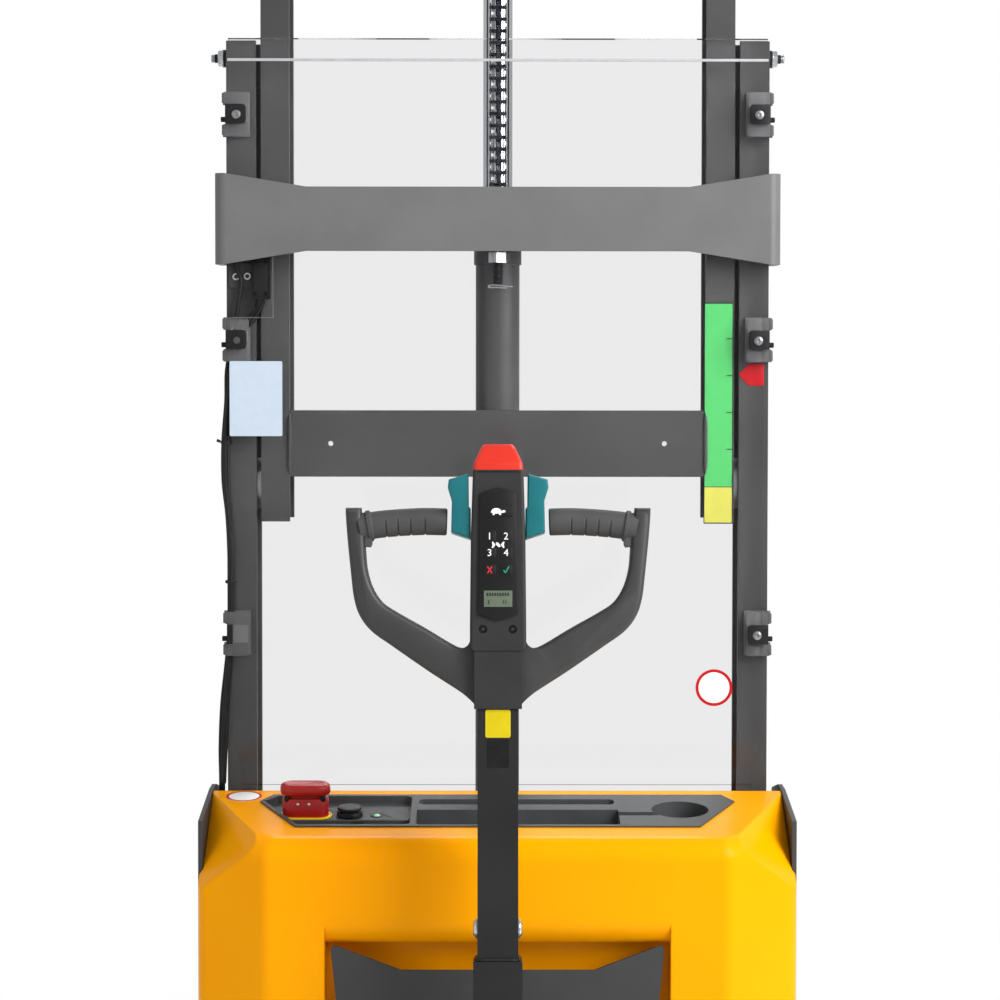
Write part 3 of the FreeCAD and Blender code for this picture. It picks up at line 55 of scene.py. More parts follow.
# Places are in millimetres as on the drawing: x across, y forward from the mast's rear face, z up.

mastFace = -0.43  # the mast's rear face in the frame, metres


def place(x, y, z):
    return Vector((x / 1000, y / 1000 + mastFace, z / 1000))


rearward = Vector((0, -1, 0))
tillerAxis = Vector((0, -0.834, 0.44))
tillerLean = math.radians(-8)
tillerFrame = Matrix.Translation(tillerAxis) @ Matrix.Rotation(tillerLean, 4, "X")


def onTiller(x, y, w):  # w runs up the tiller's tube from its pivot
    return tillerFrame @ Vector((x / 1000, y / 1000, w / 1000))


# Colour and nodes.

def toLinear(code):
    parts = [int(code[i:i + 2], 16) / 255 for i in (1, 3, 5)]
    return [c / 12.92 if c <= 0.04045 else ((c + 0.055) / 1.055) ** 2.4 for c in parts] + [1]


def addNode(tree, kind, settings=None, links=None):
    node = tree.nodes.new(kind)
    for key, value in (settings or {}).items():
        if key in node.inputs:
            node.inputs[key].default_value = value
        else:
            setattr(node, key, value)
    for key, socket in (links or {}).items():
        tree.links.new(socket, node.inputs[key])
    return node


def startMaterial(name, shader):
    material = bpy.data.materials.new(name)
    material.use_nodes = True
    tree = material.node_tree
    tree.nodes.clear()
    surface = addNode(tree, "ShaderNodeBsdfPrincipled", shader)
    addNode(tree, "ShaderNodeOutputMaterial", links={"Surface": surface.outputs[0]})
    where = addNode(tree, "ShaderNodeTexCoord").outputs["Object"]
    return material, tree, surface, where


def bumped(tree, surface, where, grain, strength, depth, rounding=0.0, detail=2.0):
    # grain is the size of one lump, depth its height and rounding that of the edges, in millimetres.
    noise = addNode(tree, "ShaderNodeTexNoise", {"Scale": 1000 / grain, "Detail": detail}, {"Vector": where})
    bump = addNode(tree, "ShaderNodeBump", {"Strength": strength, "Distance": depth / 1000},
                   {"Height": noise.outputs["Fac"]})
    if rounding:
        edge = addNode(tree, "ShaderNodeBevel", {"samples": 4, "Radius": rounding / 1000})
        tree.links.new(edge.outputs[0], bump.inputs["Normal"])
    tree.links.new(bump.outputs[0], surface.inputs["Normal"])


def grained(name, shader, mottle, detail, spread, colours, rough, bump, squeeze=None):
    # Colour drifts between two tones over mottle millimetres, and the roughness drifts with it.
    material, tree, surface, where = startMaterial(name, shader)
    along = where
    if squeeze:
        along = addNode(tree, "ShaderNodeMapping", {"Scale": squeeze}, {"Vector": where}).outputs[0]
    noise = addNode(tree, "ShaderNodeTexNoise", {"Scale": 1000 / mottle, "Detail": detail}, {"Vector": along})
    ramp = addNode(tree, "ShaderNodeValToRGB", links={"Fac": noise.outputs["Fac"]})
    for element, position, code in zip(ramp.color_ramp.elements, spread, colours):
        element.position = position
        element.color = toLinear(code)
    tree.links.new(ramp.outputs["Color"], surface.inputs["Base Color"])
    dull = addNode(tree, "ShaderNodeMapRange", {"To Min": rough[0], "To Max": rough[1]},
                   {"Value": noise.outputs["Fac"]})
    tree.links.new(dull.outputs[0], surface.inputs["Roughness"])
    bumped(tree, surface, where, *bump)
    return material


paint = {
    "grain": 2.2,        # orange peel, mm from lump to lump
    "mottle": 90,        # slow unevenness of the coat, mm
    "rounding": 1.2,     # edges softened by the coat, mm
    "mast": ("#404040", "#464646"),
    "yoke": ("#676767", "#6d6d6d"),
    # The clips' grey is lighter than the mast's: painted light, for the clips catching more light in front of the
    # guard.
    "clips": ("#525253", "#585859"),
    "tiller": ("#212121", "#262626"),
    "dark": ("#3c3c3d", "#424243"),
}


def paintedSteel(name, colours, rough=(0.34, 0.46)):
    # Powder coat over rolled steel: an even semi-gloss grey whose orange peel breaks up reflections.
    return grained(name, {"IOR": 1.5, "Specular IOR Level": 0.22}, paint["mottle"], 4.0, (0.35, 0.7), colours,
                   rough, (paint["grain"], 0.25, 0.05, paint["rounding"]))


powderMast = paintedSteel("powderCoatMast", paint["mast"])
powderYoke = paintedSteel("powderCoatYoke", paint["yoke"], (0.3, 0.4))
# Lighter grey on the clip straps: painted light, as they catch more light than the mast behind them.
powderClipsLit = paintedSteel("powderCoatClipsPaintedLight", paint["clips"], (0.42, 0.55))
powderTiller = paintedSteel("powderCoatTiller", paint["tiller"], (0.36, 0.48))
powderDark = paintedSteel("powderCoatChassis", paint["dark"], (0.42, 0.55))

# Injection-moulded, lacquered panel: deep gloss, long soft waves from the mould and a clear top coat.
hood = {"colours": ("#fba000", "#ffa900"), "rough": (0.22, 0.3), "mottle": 260, "grain": 9, "rounding": 4,
        "shader": {"IOR": 1.5, "Specular IOR Level": 0.05, "Coat Weight": 0.02, "Coat Roughness": 0.08}}
lacqueredYellow = grained("lacqueredYellow", hood["shader"], hood["mottle"], 2.0, (0.3, 0.75),
                          hood["colours"], hood["rough"], (hood["grain"], 0.06, 0.08, hood["rounding"]))


def metal(name, colours, rough, scratch, rounding=0.4):
    # scratch is the spacing of the tool or grinding marks in millimetres.
    return grained(name, {"Metallic": 1.0}, scratch, 3.0, (0.3, 0.7), colours, rough,
                   (scratch, 0.12, 0.02, rounding), (1, 1, 0.06))


# Hard chrome, ground and polished: a mirror with the faintest lay.
hardChrome = metal("hardChrome", ("#c9cbcd", "#dddfe0"), (0.05, 0.12), 1.5)
# Zinc-plated and clear-passivated: bright, slightly blue, softly mottled.
zincPlate = metal("zincPlate", ("#b9bcc0", "#d6d8da"), (0.22, 0.38), 3.0)
# Turned steel: brighter rings and oiled roughness.
turnedSteel = metal("turnedSteel", ("#8d8f92", "#a9abad"), (0.25, 0.4), 1.2)
# Stamped chain steel under oil: dark with cold glints.
oiledChain = metal("oiledChainSteel", ("#191b1f", "#474c54"), (0.22, 0.4), 2.5, 0.3)
# Blackened socket screws.
blackScrew = metal("blackOxide", ("#1b1b1c", "#2a2a2b"), (0.35, 0.5), 1.0)


def moulded(name, colours, rough, grain, depth, specular=0.22, rounding=1.0):
    # Injection-moulded plastic with a spark-eroded grain: broken highlights, matt in the hollows.
    return grained(name, {"IOR": 1.5, "Specular IOR Level": specular}, 40, 3.0, (0.3, 0.72), colours, rough,
                   (grain, 0.3, depth, rounding))


trayPlastic = moulded("mouldedAbsTray", ("#454647", "#4d4e4f"), (0.5, 0.62), 1.4, 0.05)
blackPlastic = moulded("mouldedNylonBlack", ("#161617", "#202021"), (0.4, 0.52), 1.3, 0.04)
headPlastic = moulded("mouldedTillerHead", ("#2b2b2b", "#303030"), (0.44, 0.56), 1.3, 0.05)
loopPlastic = moulded("mouldedTillerLoop", ("#303030", "#353535"), (0.42, 0.52), 1.3, 0.05, 0.45)
gripPlastic = moulded("softGrip", ("#424242", "#484848"), (0.55, 0.66), 1.5, 0.06, 0.3)
keyFilm = moulded("keypadFilm", ("#0f0f10", "#141415"), (0.34, 0.44), 1.2, 0.02, 0.3, 0.6)
tealPlastic = moulded("mouldedTeal", ("#18626a", "#1c6c72"), (0.3, 0.4), 1.4, 0.03)
signalRed = moulded("mouldedSignalRed", ("#cc2716", "#d42d18"), (0.3, 0.4), 1.4, 0.02, 0.45, 2.0)
stopRed = moulded("mouldedStopRed", ("#a3120c", "#ad1710"), (0.28, 0.38), 1.4, 0.02, 0.45, 1.5)
ringYellow = moulded("mouldedRingYellow", ("#f3c400", "#fbcd0a"), (0.3, 0.4), 1.4, 0.02)
treadRubber = moulded("treadRubber", ("#232323", "#2c2c2c"), (0.7, 0.82), 1.6, 0.08, 0.3)
batteryCase = moulded("batteryCase", ("#2b2c2e", "#35363a"), (0.5, 0.6), 1.6, 0.05)
# Cast polyurethane: amber-brown, a little light passes under the skin.
polyurethane = grained("castPolyurethane", {"IOR": 1.5, "Subsurface Weight": 0.08, "Subsurface Scale": 0.01},
                       30, 3.0, (0.3, 0.7), ("#8a5a2a", "#9c6933"), (0.35, 0.5), (2.0, 0.2, 0.05, 1.5))

sheet = {"tint": "#ebebec", "rough": 0.02, "wave": 400, "thick": 4, "rear": -24.2,
         "foot": (-345.5, 345.5, 800, 822), "footRear": -15}


def clearSheet():
    # Extruded polycarbonate, 4 mm: see-through, a cool grey veil and few reflections, as in the photograph.
    material, tree, surface, where = startMaterial("clearPolycarbonate", {
        "Base Color": toLinear(sheet["tint"]), "Roughness": sheet["rough"], "Transmission Weight": 1.0,
        "IOR": 1.2, "Specular IOR Level": 0.1})
    bumped(tree, surface, where, sheet["wave"], 0.04, 0.8, detail=1.0)
    return material


polycarbonate = clearSheet()


def printedFilm(name, *colours, rough=0.35):
    # Printed vinyl film: flat colour, slight tooth of the print.
    return grained(name, {"IOR": 1.46, "Specular IOR Level": 0.2}, 12, 2.0, (0.3, 0.7), colours,
                   (rough, rough + 0.08), (1.2, 0.1, 0.01))


filmGreen = printedFilm("vinylGreen", "#4bad5e", "#4fb262")
filmYellow = printedFilm("vinylYellow", "#bab74e", "#bfbc53")
filmPale = printedFilm("vinylPaleBlue", "#bccad8", "#c1cedb")
filmWhite = printedFilm("vinylWhite", "#f2f2f0", "#f7f7f5")
filmRed = printedFilm("vinylRed", "#b80f18", "#be141d")
filmBlack = printedFilm("vinylBlack", "#151515", "#1c1c1c")
filmLabel = printedFilm("vinylLabelYellow", "#c8b310", "#ceb914")
filmGlyph = printedFilm("keyPrintWhite", "#e9ecec", "#f2f4f4")
filmCross = printedFilm("keyPrintRed", "#c8303a", "#cf3741")
filmTick = printedFilm("keyPrintGreen", "#1f9a6a", "#24a372")
displayGlass = printedFilm("displayGlass", "#5d6857", "#667060", rough=0.12)
displayInk = printedFilm("displayInk", "#2b332c", "#323a33", rough=0.2)
cutEdge = printedFilm("sawnSheetEdge", "#a9a9ab", "#b2b2b4")
# A darker copy of the sawn-edge film: painted shade on the notch's edges, which stand in front of the dark mast.
cutEdgePaintedShade = printedFilm("sawnSheetEdgePaintedShade", "#727273", "#7b7b7c")
print("stage 1: materials")


# Meshes.

def addPiece(name, verts, faces, material, body, slotName, crease=32, bevel=0.0, segments=2):
    # Points in metres; edges sharper than crease degrees stay crisp unless bevel (mm) rounds them.
    mesh = bpy.data.meshes.new(name)
    mesh.from_pydata([tuple(v) for v in verts], [], faces)
    work = bmesh.new()
    work.from_mesh(mesh)
    bmesh.ops.remove_doubles(work, verts=work.verts, dist=1e-6)
    bmesh.ops.recalc_face_normals(work, faces=work.faces)
    if bevel:
        sharp = [e for e in work.edges if len(e.link_faces) == 2
                 and e.calc_face_angle() > math.radians(crease)]
        bmesh.ops.bevel(work, geom=sharp, offset=bevel / 1000, segments=segments, profile=0.5,
                        affect="EDGES", clamp_overlap=True)
    for edge in work.edges:
        edge.smooth = len(edge.link_faces) == 2 and edge.calc_face_angle() < math.radians(crease)
    for face in work.faces:
        face.smooth = True
    work.to_mesh(mesh)
    work.free()
    obj = bpy.data.objects.new(name, mesh)
    mesh.materials.append(material)
    scene.collection.objects.link(obj)
    if body:
        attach(obj, body)
    return obj


def prism(points, depth):
    # A closed outline of 3D points pushed along a vector: its points and faces.
    count = len(points)
    faces = [list(range(count))[::-1], list(range(count, 2 * count))]
    faces += [[i, (i + 1) % count, count + (i + 1) % count, count + i] for i in range(count)]
    return list(points) + [p + depth for p in points], faces


def roundRect(x0, x1, z0, z1, radius, steps=4):
    # The corners of a rectangle, rounded, as flat pairs in millimetres.
    out = []
    for cx, cz, start in ((x1 - radius, z1 - radius, 0), (x0 + radius, z1 - radius, 90),
                          (x0 + radius, z0 + radius, 180), (x1 - radius, z0 + radius, 270)):
        for i in range(steps + 1):
            angle = math.radians(start + 90 * i / steps)
            out.append((cx + radius * math.cos(angle), cz + radius * math.sin(angle)))
    return out


def merge(parts):
    # Several (points, faces) lists as one.
    verts, faces = [], []
    for points, polygons in parts:
        base = len(verts)
        verts += list(points)
        faces += [[base + i for i in polygon] for polygon in polygons]
    return verts, faces


def skin(rings, count):
    # Faces between rings of count points each, closed at both ends.
    faces = []
    for k in range(rings - 1):
        for i in range(count):
            j = (i + 1) % count
            faces.append([k * count + i, k * count + j, (k + 1) * count + j, (k + 1) * count + i])
    return faces + [list(range(count))[::-1], [(rings - 1) * count + i for i in range(count)]]


def squareTo(axis):
    # The axis as a unit vector and two more, all at right angles.
    axis = Vector(axis).normalized()
    side = axis.orthogonal().normalized()
    return axis, side, axis.cross(side)


def lathed(profile, origin, axis, sides=24):
    # (radius, along) pairs in millimetres turned about an axis through origin.
    axis, side, other = squareTo(axis)
    verts = []
    for radius, along in profile:
        for i in range(sides):
            angle = 2 * math.pi * i / sides
            verts.append(origin + axis * (along / 1000)
                         + (side * math.cos(angle) + other * math.sin(angle)) * (radius / 1000))
    return verts, skin(len(profile), sides)


def hexagon(origin, axis, flats, thick, chamfer=1.2):
    # A hexagon head or nut with chamfered corners; flats across and thickness in millimetres.
    outer = flats / math.sqrt(3)
    return lathed([(outer, 0), (outer, thick - chamfer), (outer - chamfer * 1.3, thick)], origin, axis, 6)


def domeHead(origin, axis, across, high):
    # A round screw head with a driving recess.
    r = across / 2
    profile = [(r, 0), (r, high * 0.25), (r * 0.93, high * 0.6), (r * 0.75, high * 0.88), (r * 0.45, high),
               (r * 0.42, high), (r * 0.36, high * 0.55)]
    return lathed(profile, origin, axis, 20)


def weldBead(start, end, size, pitch=3.2, sides=7):
    # A hand-laid bead: overlapping ripples along a seam; size and pitch in millimetres.
    run = end - start
    axis, side, other = squareTo(run)
    count = max(4, int(run.length * 1000 / pitch * 3))
    verts = []
    for k in range(count + 1):
        t = k / count
        ripple = 0.82 + 0.18 * abs(math.sin(math.pi * k / 3))
        close = min(1, 6 * t + 0.2, 6 * (1 - t) + 0.2)
        for i in range(sides):
            angle = 2 * math.pi * i / sides
            wander = 0.06 * math.sin(1.7 * k + i)
            radius = size / 1000 * (ripple + wander) * close
            verts.append(start + run * t + (side * math.cos(angle) + other * math.sin(angle)) * radius)
    return verts, skin(count + 1, sides)


def addWelds(name, weld, material, body):
    # Upright beads at the same heights on each x of one face.
    beads = [weldBead(place(x, weld["y"], low), place(x, weld["y"], high), weld["size"])
             for x in weld["x"] for low, high in weld["z"]]
    addPiece(name, *merge(beads), material, body, "charcoal_paint", crease=70)


def plateAt(name, outline, y, thick, material, body, slotName, bevel=0.0):
    # A flat plate facing the rear: outline of (x, z) pairs, its rear face at y, thick towards the front.
    low = [place(x, y, z) for x, z in outline]
    depth = place(0, y + thick, 0) - place(0, y, 0)
    return addPiece(name, *prism(low, depth), material, body, slotName, bevel=bevel)


def paintNode(material, *names):
    for name in names:
        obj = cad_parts[name]
        if not obj.material_slots:
            obj.data.materials.append(material)
        for item in obj.material_slots:
            item.link = "OBJECT"
            item.material = material


# Solids that keep their shape, and the colours of those that scene pieces replace.

paintNode(powderMast, "outer_mast", "inner_mast_channels", "inner_mast_ties", "lift_cylinder", "pulley_yoke",
          "carriage_frame", "fork_left", "fork_right")
paintNode(powderYoke, "mast_yoke")
paintNode(powderTiller, "tiller_arm")
paintNode(powderDark, "chassis_frame", "support_arms", "drive_bracket", "drive_motor", "caster_fork_left",
          "caster_fork_right", "hood_apron", "chain_anchor")
paintNode(lacqueredYellow, "hood_shell")
paintNode(batteryCase, "battery_block")
paintNode(hardChrome, "lift_rod")
paintNode(zincPlate, "drive_wheel")
# The clip tabs take the yoke's lighter grey: painted light, as they catch more light than the mast.
paintNode(powderYoke, "guard_clips")
paintNode(turnedSteel, "inner_mast_rollers", "carriage_rollers", "chain_pulley")
paintNode(oiledChain, "chain_fixed_run", "chain_lift_run", "chain_wrap")
paintNode(polycarbonate, "guard_upper", "guard_lower")
paintNode(trayPlastic, "console_tray")
paintNode(blackPlastic, "key_switch", "mast_cables", "mast_adjusters")
paintNode(keyFilm, "tiller_keypad")
paintNode(headPlastic, "tiller_head")
paintNode(loopPlastic, "tiller_loop")
paintNode(gripPlastic, "tiller_grips")
paintNode(tealPlastic, "tiller_rockers")
paintNode(stopRed, "emergency_stop")
paintNode(signalRed, "reversing_button")
paintNode(treadRubber, "drive_tyre")
paintNode(polyurethane, "caster_wheel_left", "caster_wheel_right", "load_roller_left", "load_roller_right")
for name in ("guard_upper", "guard_lower"):
    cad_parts[name].visible_shadow = False  # a clear sheet barely shades what is behind it
print("stage 2: solids painted")


# Leaf chain: laced plates on pins. step is from plate to plate, edge from the pin's end to the first.

chain = {"pitch": 15.875, "plateHigh": 12, "waist": 9.2, "thick": 1.9, "pin": 5.2, "wide": 23.6, "step": 2.35,
         "edge": 0.6}


def chainPlate(x, centre, along, outward):
    # One figure-of-eight plate between two pins; along and outward are unit vectors.
    half = chain["pitch"] / 2
    radius = chain["plateHigh"] / 2
    outline = []
    for side, start in ((1, -100), (-1, 80)):
        for k in range(5):
            angle = math.radians(start + 200 * k / 4)
            outline.append((side * half + radius * math.cos(angle), radius * math.sin(angle)))
        outline.append((0, side * chain["waist"] / 2))
    points = [centre + Vector((x / 1000, 0, 0)) + along * (a / 1000) + outward * (b / 1000)
              for a, b in outline]
    return prism(points, Vector((chain["thick"] / 1000, 0, 0)))


def chainParts(stations):
    # stations: (point on the chain's middle line, unit direction, unit outward) one pitch apart.
    parts = []
    outer, step, r = chain["wide"] / 2, chain["step"], chain["pin"] / 2
    low, high = chain["edge"] - outer, outer - chain["edge"] - chain["thick"]
    rows = ((low, low + 4 * step, low + 5 * step, high), (low + step, low + 2 * step, low + 6 * step, high - step))
    for number, (point, along, outward) in enumerate(stations):
        parts += [chainPlate(x, point, along, outward) for x in rows[number % 2]]
        parts.append(lathed([(r * 0.7, -outer), (r, -outer + 0.5), (r, outer - 0.5), (r * 0.7, outer)],
                            point - along * (chain["pitch"] / 2000), (1, 0, 0), 8))
    return parts


up = Vector((0, 0, 1))
fixedLow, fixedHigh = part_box("chain_fixed_run")
liftLow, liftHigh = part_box("chain_lift_run")


def straightRun(low, high, outward):
    count = int(round((high.z - low.z) * 1000 / chain["pitch"]))
    step = (high.z - low.z) / count
    middle = (low.y + high.y) / 2
    return [(Vector((0, middle, low.z + step * (i + 0.5))), up, outward) for i in range(count)]


run = chainParts(straightRun(fixedLow, fixedHigh, Vector((0, -1, 0))))
chainFixed = addPiece("leaf_chain_fixed", *merge(run), oiledChain, None, "chain_steel")
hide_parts("chain_fixed_run")
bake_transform(chainFixed)
run = chainParts(straightRun(liftLow, liftHigh, Vector((0, 1, 0))))
chainLift = addPiece("leaf_chain_lift", *merge(run), oiledChain, None, "chain_steel")
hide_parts("chain_lift_run")
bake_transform(chainLift)

sheaveAxis = (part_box("chain_pulley")[0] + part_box("chain_pulley")[1]) / 2
wrapRadius = (liftLow.y + liftHigh.y) / 2 - sheaveAxis.y
wrapStations = []
wrapCount = int(round(math.pi * wrapRadius * 1000 / chain["pitch"]))
for i in range(wrapCount):
    angle = math.pi - math.pi * (i + 0.5) / wrapCount
    outward = Vector((0, math.cos(angle), math.sin(angle)))
    along = Vector((0, math.sin(angle), -math.cos(angle)))
    wrapStations.append((sheaveAxis + outward * wrapRadius, along, outward))
chainWrap = addPiece("leaf_chain_wrap", *merge(chainParts(wrapStations)), oiledChain, "inner_mast", "chain_steel")
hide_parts("chain_wrap")
print("stage 3: leaf chain")


# Mast: welds, adjusting screws, the cylinder's gland and the anchor of the fixed chain.

welds = {"tie": {"x": (-282, 282), "y": -0.6, "z": ((1243, 1327),), "size": 3.2},
         "yoke": {"x": (-367.5, 367.5), "y": 60.5, "z": ((1540, 1580), (1596, 1636)), "size": 2.8},
         "foot": {"x": (-355, 355), "y": 95.5, "z": ((80, 125), (130, 175)), "size": 2.6},
         "fork": {"x": (-279, -111, 111, 279), "y": 123.4, "z": ((2330, 2400), (2560, 2625)), "size": 2.8}}
addWelds("tie_welds", welds["tie"], powderMast, "inner_mast")
addWelds("yoke_welds", welds["yoke"], powderYoke, "chassis")

adjusting = {"at": (367, 44, 1809), "radius": 5.7, "start": 8, "pitch": 1.75, "turns": 9, "nutFlats": 19,
             "nut": 8.3, "washer": 7.2}
threads = []
for side in (-1, 1):
    turns = []
    for k in range(adjusting["turns"]):
        turns += [(adjusting["radius"] - 0.9, adjusting["start"] + k * adjusting["pitch"]),
                  (adjusting["radius"] + 0.2, adjusting["start"] + (k + 0.5) * adjusting["pitch"])]
    x, y, z = adjusting["at"]
    origin, outward = place(side * x, y, z), Vector((side, 0, 0))
    threads.append(lathed(turns + [(adjusting["radius"] - 0.6, 24), (2, 24.5)], origin, outward, 16))
    threads.append(hexagon(origin + outward * (adjusting["nut"] / 1000), outward, adjusting["nutFlats"], 6.5))
    threads.append(lathed([(12.5, 0), (12.5, 1.4), (11.9, 1.8)], origin + outward * (adjusting["washer"] / 1000),
                          outward))
addPiece("adjusting_screws", *merge(threads), zincPlate, "chassis", "zinc_steel")

gland = {"at": (0, 48, 1580), "profile": ((20.4, -1), (31, -1), (32.2, 0.5), (32.2, 4), (30.5, 5.5), (26, 6),
                                          (25.5, 9), (21.5, 9.5), (20.4, 8))}
addPiece("cylinder_gland", *lathed(gland["profile"], place(*gland["at"]), (0, 0, 1), 40), turnedSteel, "chassis",
         "bright_steel")
anchor = {"lug": (-20, 20, 1548, 1572), "nut": 1530.4, "nutTurn": 38, "rod": (1500, 1600), "thread": (6.3, 6.9),
          "pin": 1498}
lugPiece = plateAt("anchor_lug", roundRect(*anchor["lug"], 3), -14, 32.5, powderMast, "chassis", "charcoal_paint",
                   1.2)
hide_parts("chain_anchor")
low, high = anchor["rod"]
turns = [(4.8, low), (6.2, low + 1.5)]
for k in range(24):
    turns += [(anchor["thread"][0], low + 2 + k * 4), (anchor["thread"][1], low + 4 + k * 4)]
turns += [(anchor["thread"][0], high), (4.5, high + 2)]
addPiece("anchor_rod", *lathed(turns, place(0, 0, 0), (0, 0, 1), 16), blackScrew, "chassis", "zinc_steel")
points, faces = hexagon(Vector((0, 0, 0)), Vector((0, 0, 1)), 23.6, 15, 1.4)
spin = Matrix.Rotation(math.radians(anchor["nutTurn"]), 3, "Z")
points = [place(0, 0, anchor["nut"]) + spin @ v for v in points]
addPiece("anchor_nut", points, faces, zincPlate, "chassis", "zinc_steel")
eye = [(-9.5 + 3 * math.cos(math.radians(t)), 1.6 * math.sin(math.radians(t))) for t in range(90, 271, 30)]
legs = [place(x, -7.5, anchor["pin"] + z) for x, z in
        [(20, -0.4), (9, 0.6), (-2, 1.9)] + eye + [(-2, -1.2), (6, -1.8), (13, -2.2)]]


def smoothPath(points, steps):
    # Points on a curve that passes through every given point.
    ends = [points[0]] + list(points) + [points[-1]]
    out = []
    for p0, p1, p2, p3 in zip(ends, ends[1:], ends[2:], ends[3:]):
        for k in range(steps):
            t = k / steps
            out.append(0.5 * (2 * p1 + (p2 - p0) * t + (2 * p0 - 5 * p1 + 4 * p2 - p3) * t ** 2
                              + (3 * p1 - p0 - 3 * p2 + p3) * t ** 3))
    return out + [points[-1]]


def cord(points, radius, sides, steps):
    # A round cord of a radius in millimetres drawn along a smooth path.
    path = smoothPath(points, steps)
    verts = []
    side = None
    for k, point in enumerate(path):
        run = (path[min(k + 1, len(path) - 1)] - path[max(k - 1, 0)]).normalized()
        side = run.orthogonal() if side is None else side - run * side.dot(run)
        side.normalize()
        other = run.cross(side)
        for i in range(sides):
            angle = 2 * math.pi * i / sides
            verts.append(point + (side * math.cos(angle) + other * math.sin(angle)) * (radius / 1000))
    return verts, skin(len(path), sides)


addPiece("anchor_split_pin", *cord(legs, 0.9, 8, 4), zincPlate, "chassis", "zinc_steel")

# Guard clips: a bent strap and a rubber pad with a screw and a knob. bare shows only a strip of its pad and
# no screw, dull has a plain disc for a screw.
clips = {"high": (1729, 1426, 1028), "pad": (338, 366), "half": 13, "front": -27.4, "screw": 351,
         "bare": (-1, 1028), "dull": (-1, 1426), "strap": (335.5, 366), "strapHalf": 30, "strapFront": -19.4,
         "knob": 367.4}
pads, screws, discs, knobs, straps = [], [], [], [], []
for side in (-1, 1):
    for high in clips["high"]:
        x0, x1 = clips["pad"]
        shape = roundRect(x0, x1, high - clips["half"], high + clips["half"], 5, 6)
        shape = [(x1 if x > x1 - 5.1 and abs(z - high) > 8 else x, z) for x, z in shape]
        if (side, high) == clips["bare"]:
            pads.append(prism([place(side * x, -24.6, high + z) for x, z in
                               ((358, -13), (365.5, -13), (365.5, 13), (358, 13))], Vector((0, 0.0045, 0))))
        else:
            pads.append(prism([place(side * x, clips["front"], z) for x, z in shape], Vector((0, 0.0032, 0))))
            at = place(side * clips["screw"], clips["front"], high - 1)
            if (side, high) == clips["dull"]:
                discs.append(lathed([(4.8, 0), (4.8, 0.5), (4.3, 1.0)], at, rearward))
            else:
                screws.append(lathed([(6.4, 0), (6.4, 0.6), (5.4, 1.9), (3.2, 2.6), (2.2, 2.6), (1.4, 1.2)], at,
                                     rearward))
        knobs.append(lathed([(3.6, -5), (3.6, 4.5), (3.0, 5.4)], place(side * clips["knob"], -13, high - 7),
                            (side, 0, 0), 16))
        x0, x1 = clips["strap"]
        shape = roundRect(x0, x1, high - clips["strapHalf"], high + clips["strapHalf"], 5, 6)
        straps.append(prism([place(side * (x1 if x > x1 - 5 else x), clips["strapFront"], z) for x, z in shape],
                            Vector((0, 0.0024, 0))))
        for low in (high - clips["strapHalf"], high + clips["half"]):
            ear = ((365.9, low), (371, low + 2), (371, low + 15), (365.9, low + 17))
            straps.append(prism([place(side * x, clips["strapFront"], z) for x, z in ear],
                                Vector((0, 0.0154, 0))))
addPiece("clip_rubbers", *merge(pads), blackPlastic, "chassis", "black_plastic", bevel=0.8)
# The straps take the lighter clip grey: painted light.
addPiece("clip_straps", *merge(straps), powderClipsLit, "chassis", "charcoal_paint", bevel=0.7)
addPiece("clip_screws", *merge(screws), turnedSteel, "chassis", "zinc_steel")
addPiece("clip_discs", *merge(discs), trayPlastic, "chassis", "charcoal_paint")
addPiece("clip_knobs", *merge(knobs), blackPlastic, "chassis", "black_plastic")
print("stage 4: mast fittings")


# Limit switch on its plate, and the leads that run down the mast.

switch = {"bolts": ((-353.5, 1511), (-338.5, 1511.5)), "body": (-331, -307, 1480, 1537), "bodyFront": -17,
          "lid": (-329, -309, 1484, 1535), "lidFront": -18.6, "plate": (-364, -329, 1496, 1530),
          "screws": ((-326, 1488), (-312, 1488), (-326, 1530), (-312, 1530)), "gland": (-320, -10, 1480)}
parts = []
for x, z in switch["bolts"]:
    parts.append(lathed([(5.2, 0), (5.2, 4.4), (4.6, 5), (2.9, 5), (2.6, 1.6)], place(x, -1, z), rearward))
    parts.append(lathed([(8.2, 0), (8.2, 1.2), (7.6, 1.5)], place(x, -0.2, z), rearward))
addPiece("switch_bolts", *merge(parts), zincPlate, "chassis", "zinc_steel")
body = plateAt("switch_body", roundRect(*switch["body"], 2.5), switch["bodyFront"], 12, blackPlastic, "chassis",
               "black_plastic", 1.0)
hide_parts("mast_cables")
plateAt("switch_lid", roundRect(*switch["lid"], 2.5), switch["lidFront"], 1.6, blackPlastic, "chassis",
        "black_plastic", 0.6)
plateAt("switch_plate", roundRect(*switch["plate"], 4), -3.5, 3.4, powderMast, "chassis", "charcoal_paint", 0.6)
parts = [domeHead(place(x, switch["lidFront"], z), rearward, 4.4, 1.5) for x, z in switch["screws"]]
addPiece("switch_screws", *merge(parts), blackScrew, "chassis", "zinc_steel")

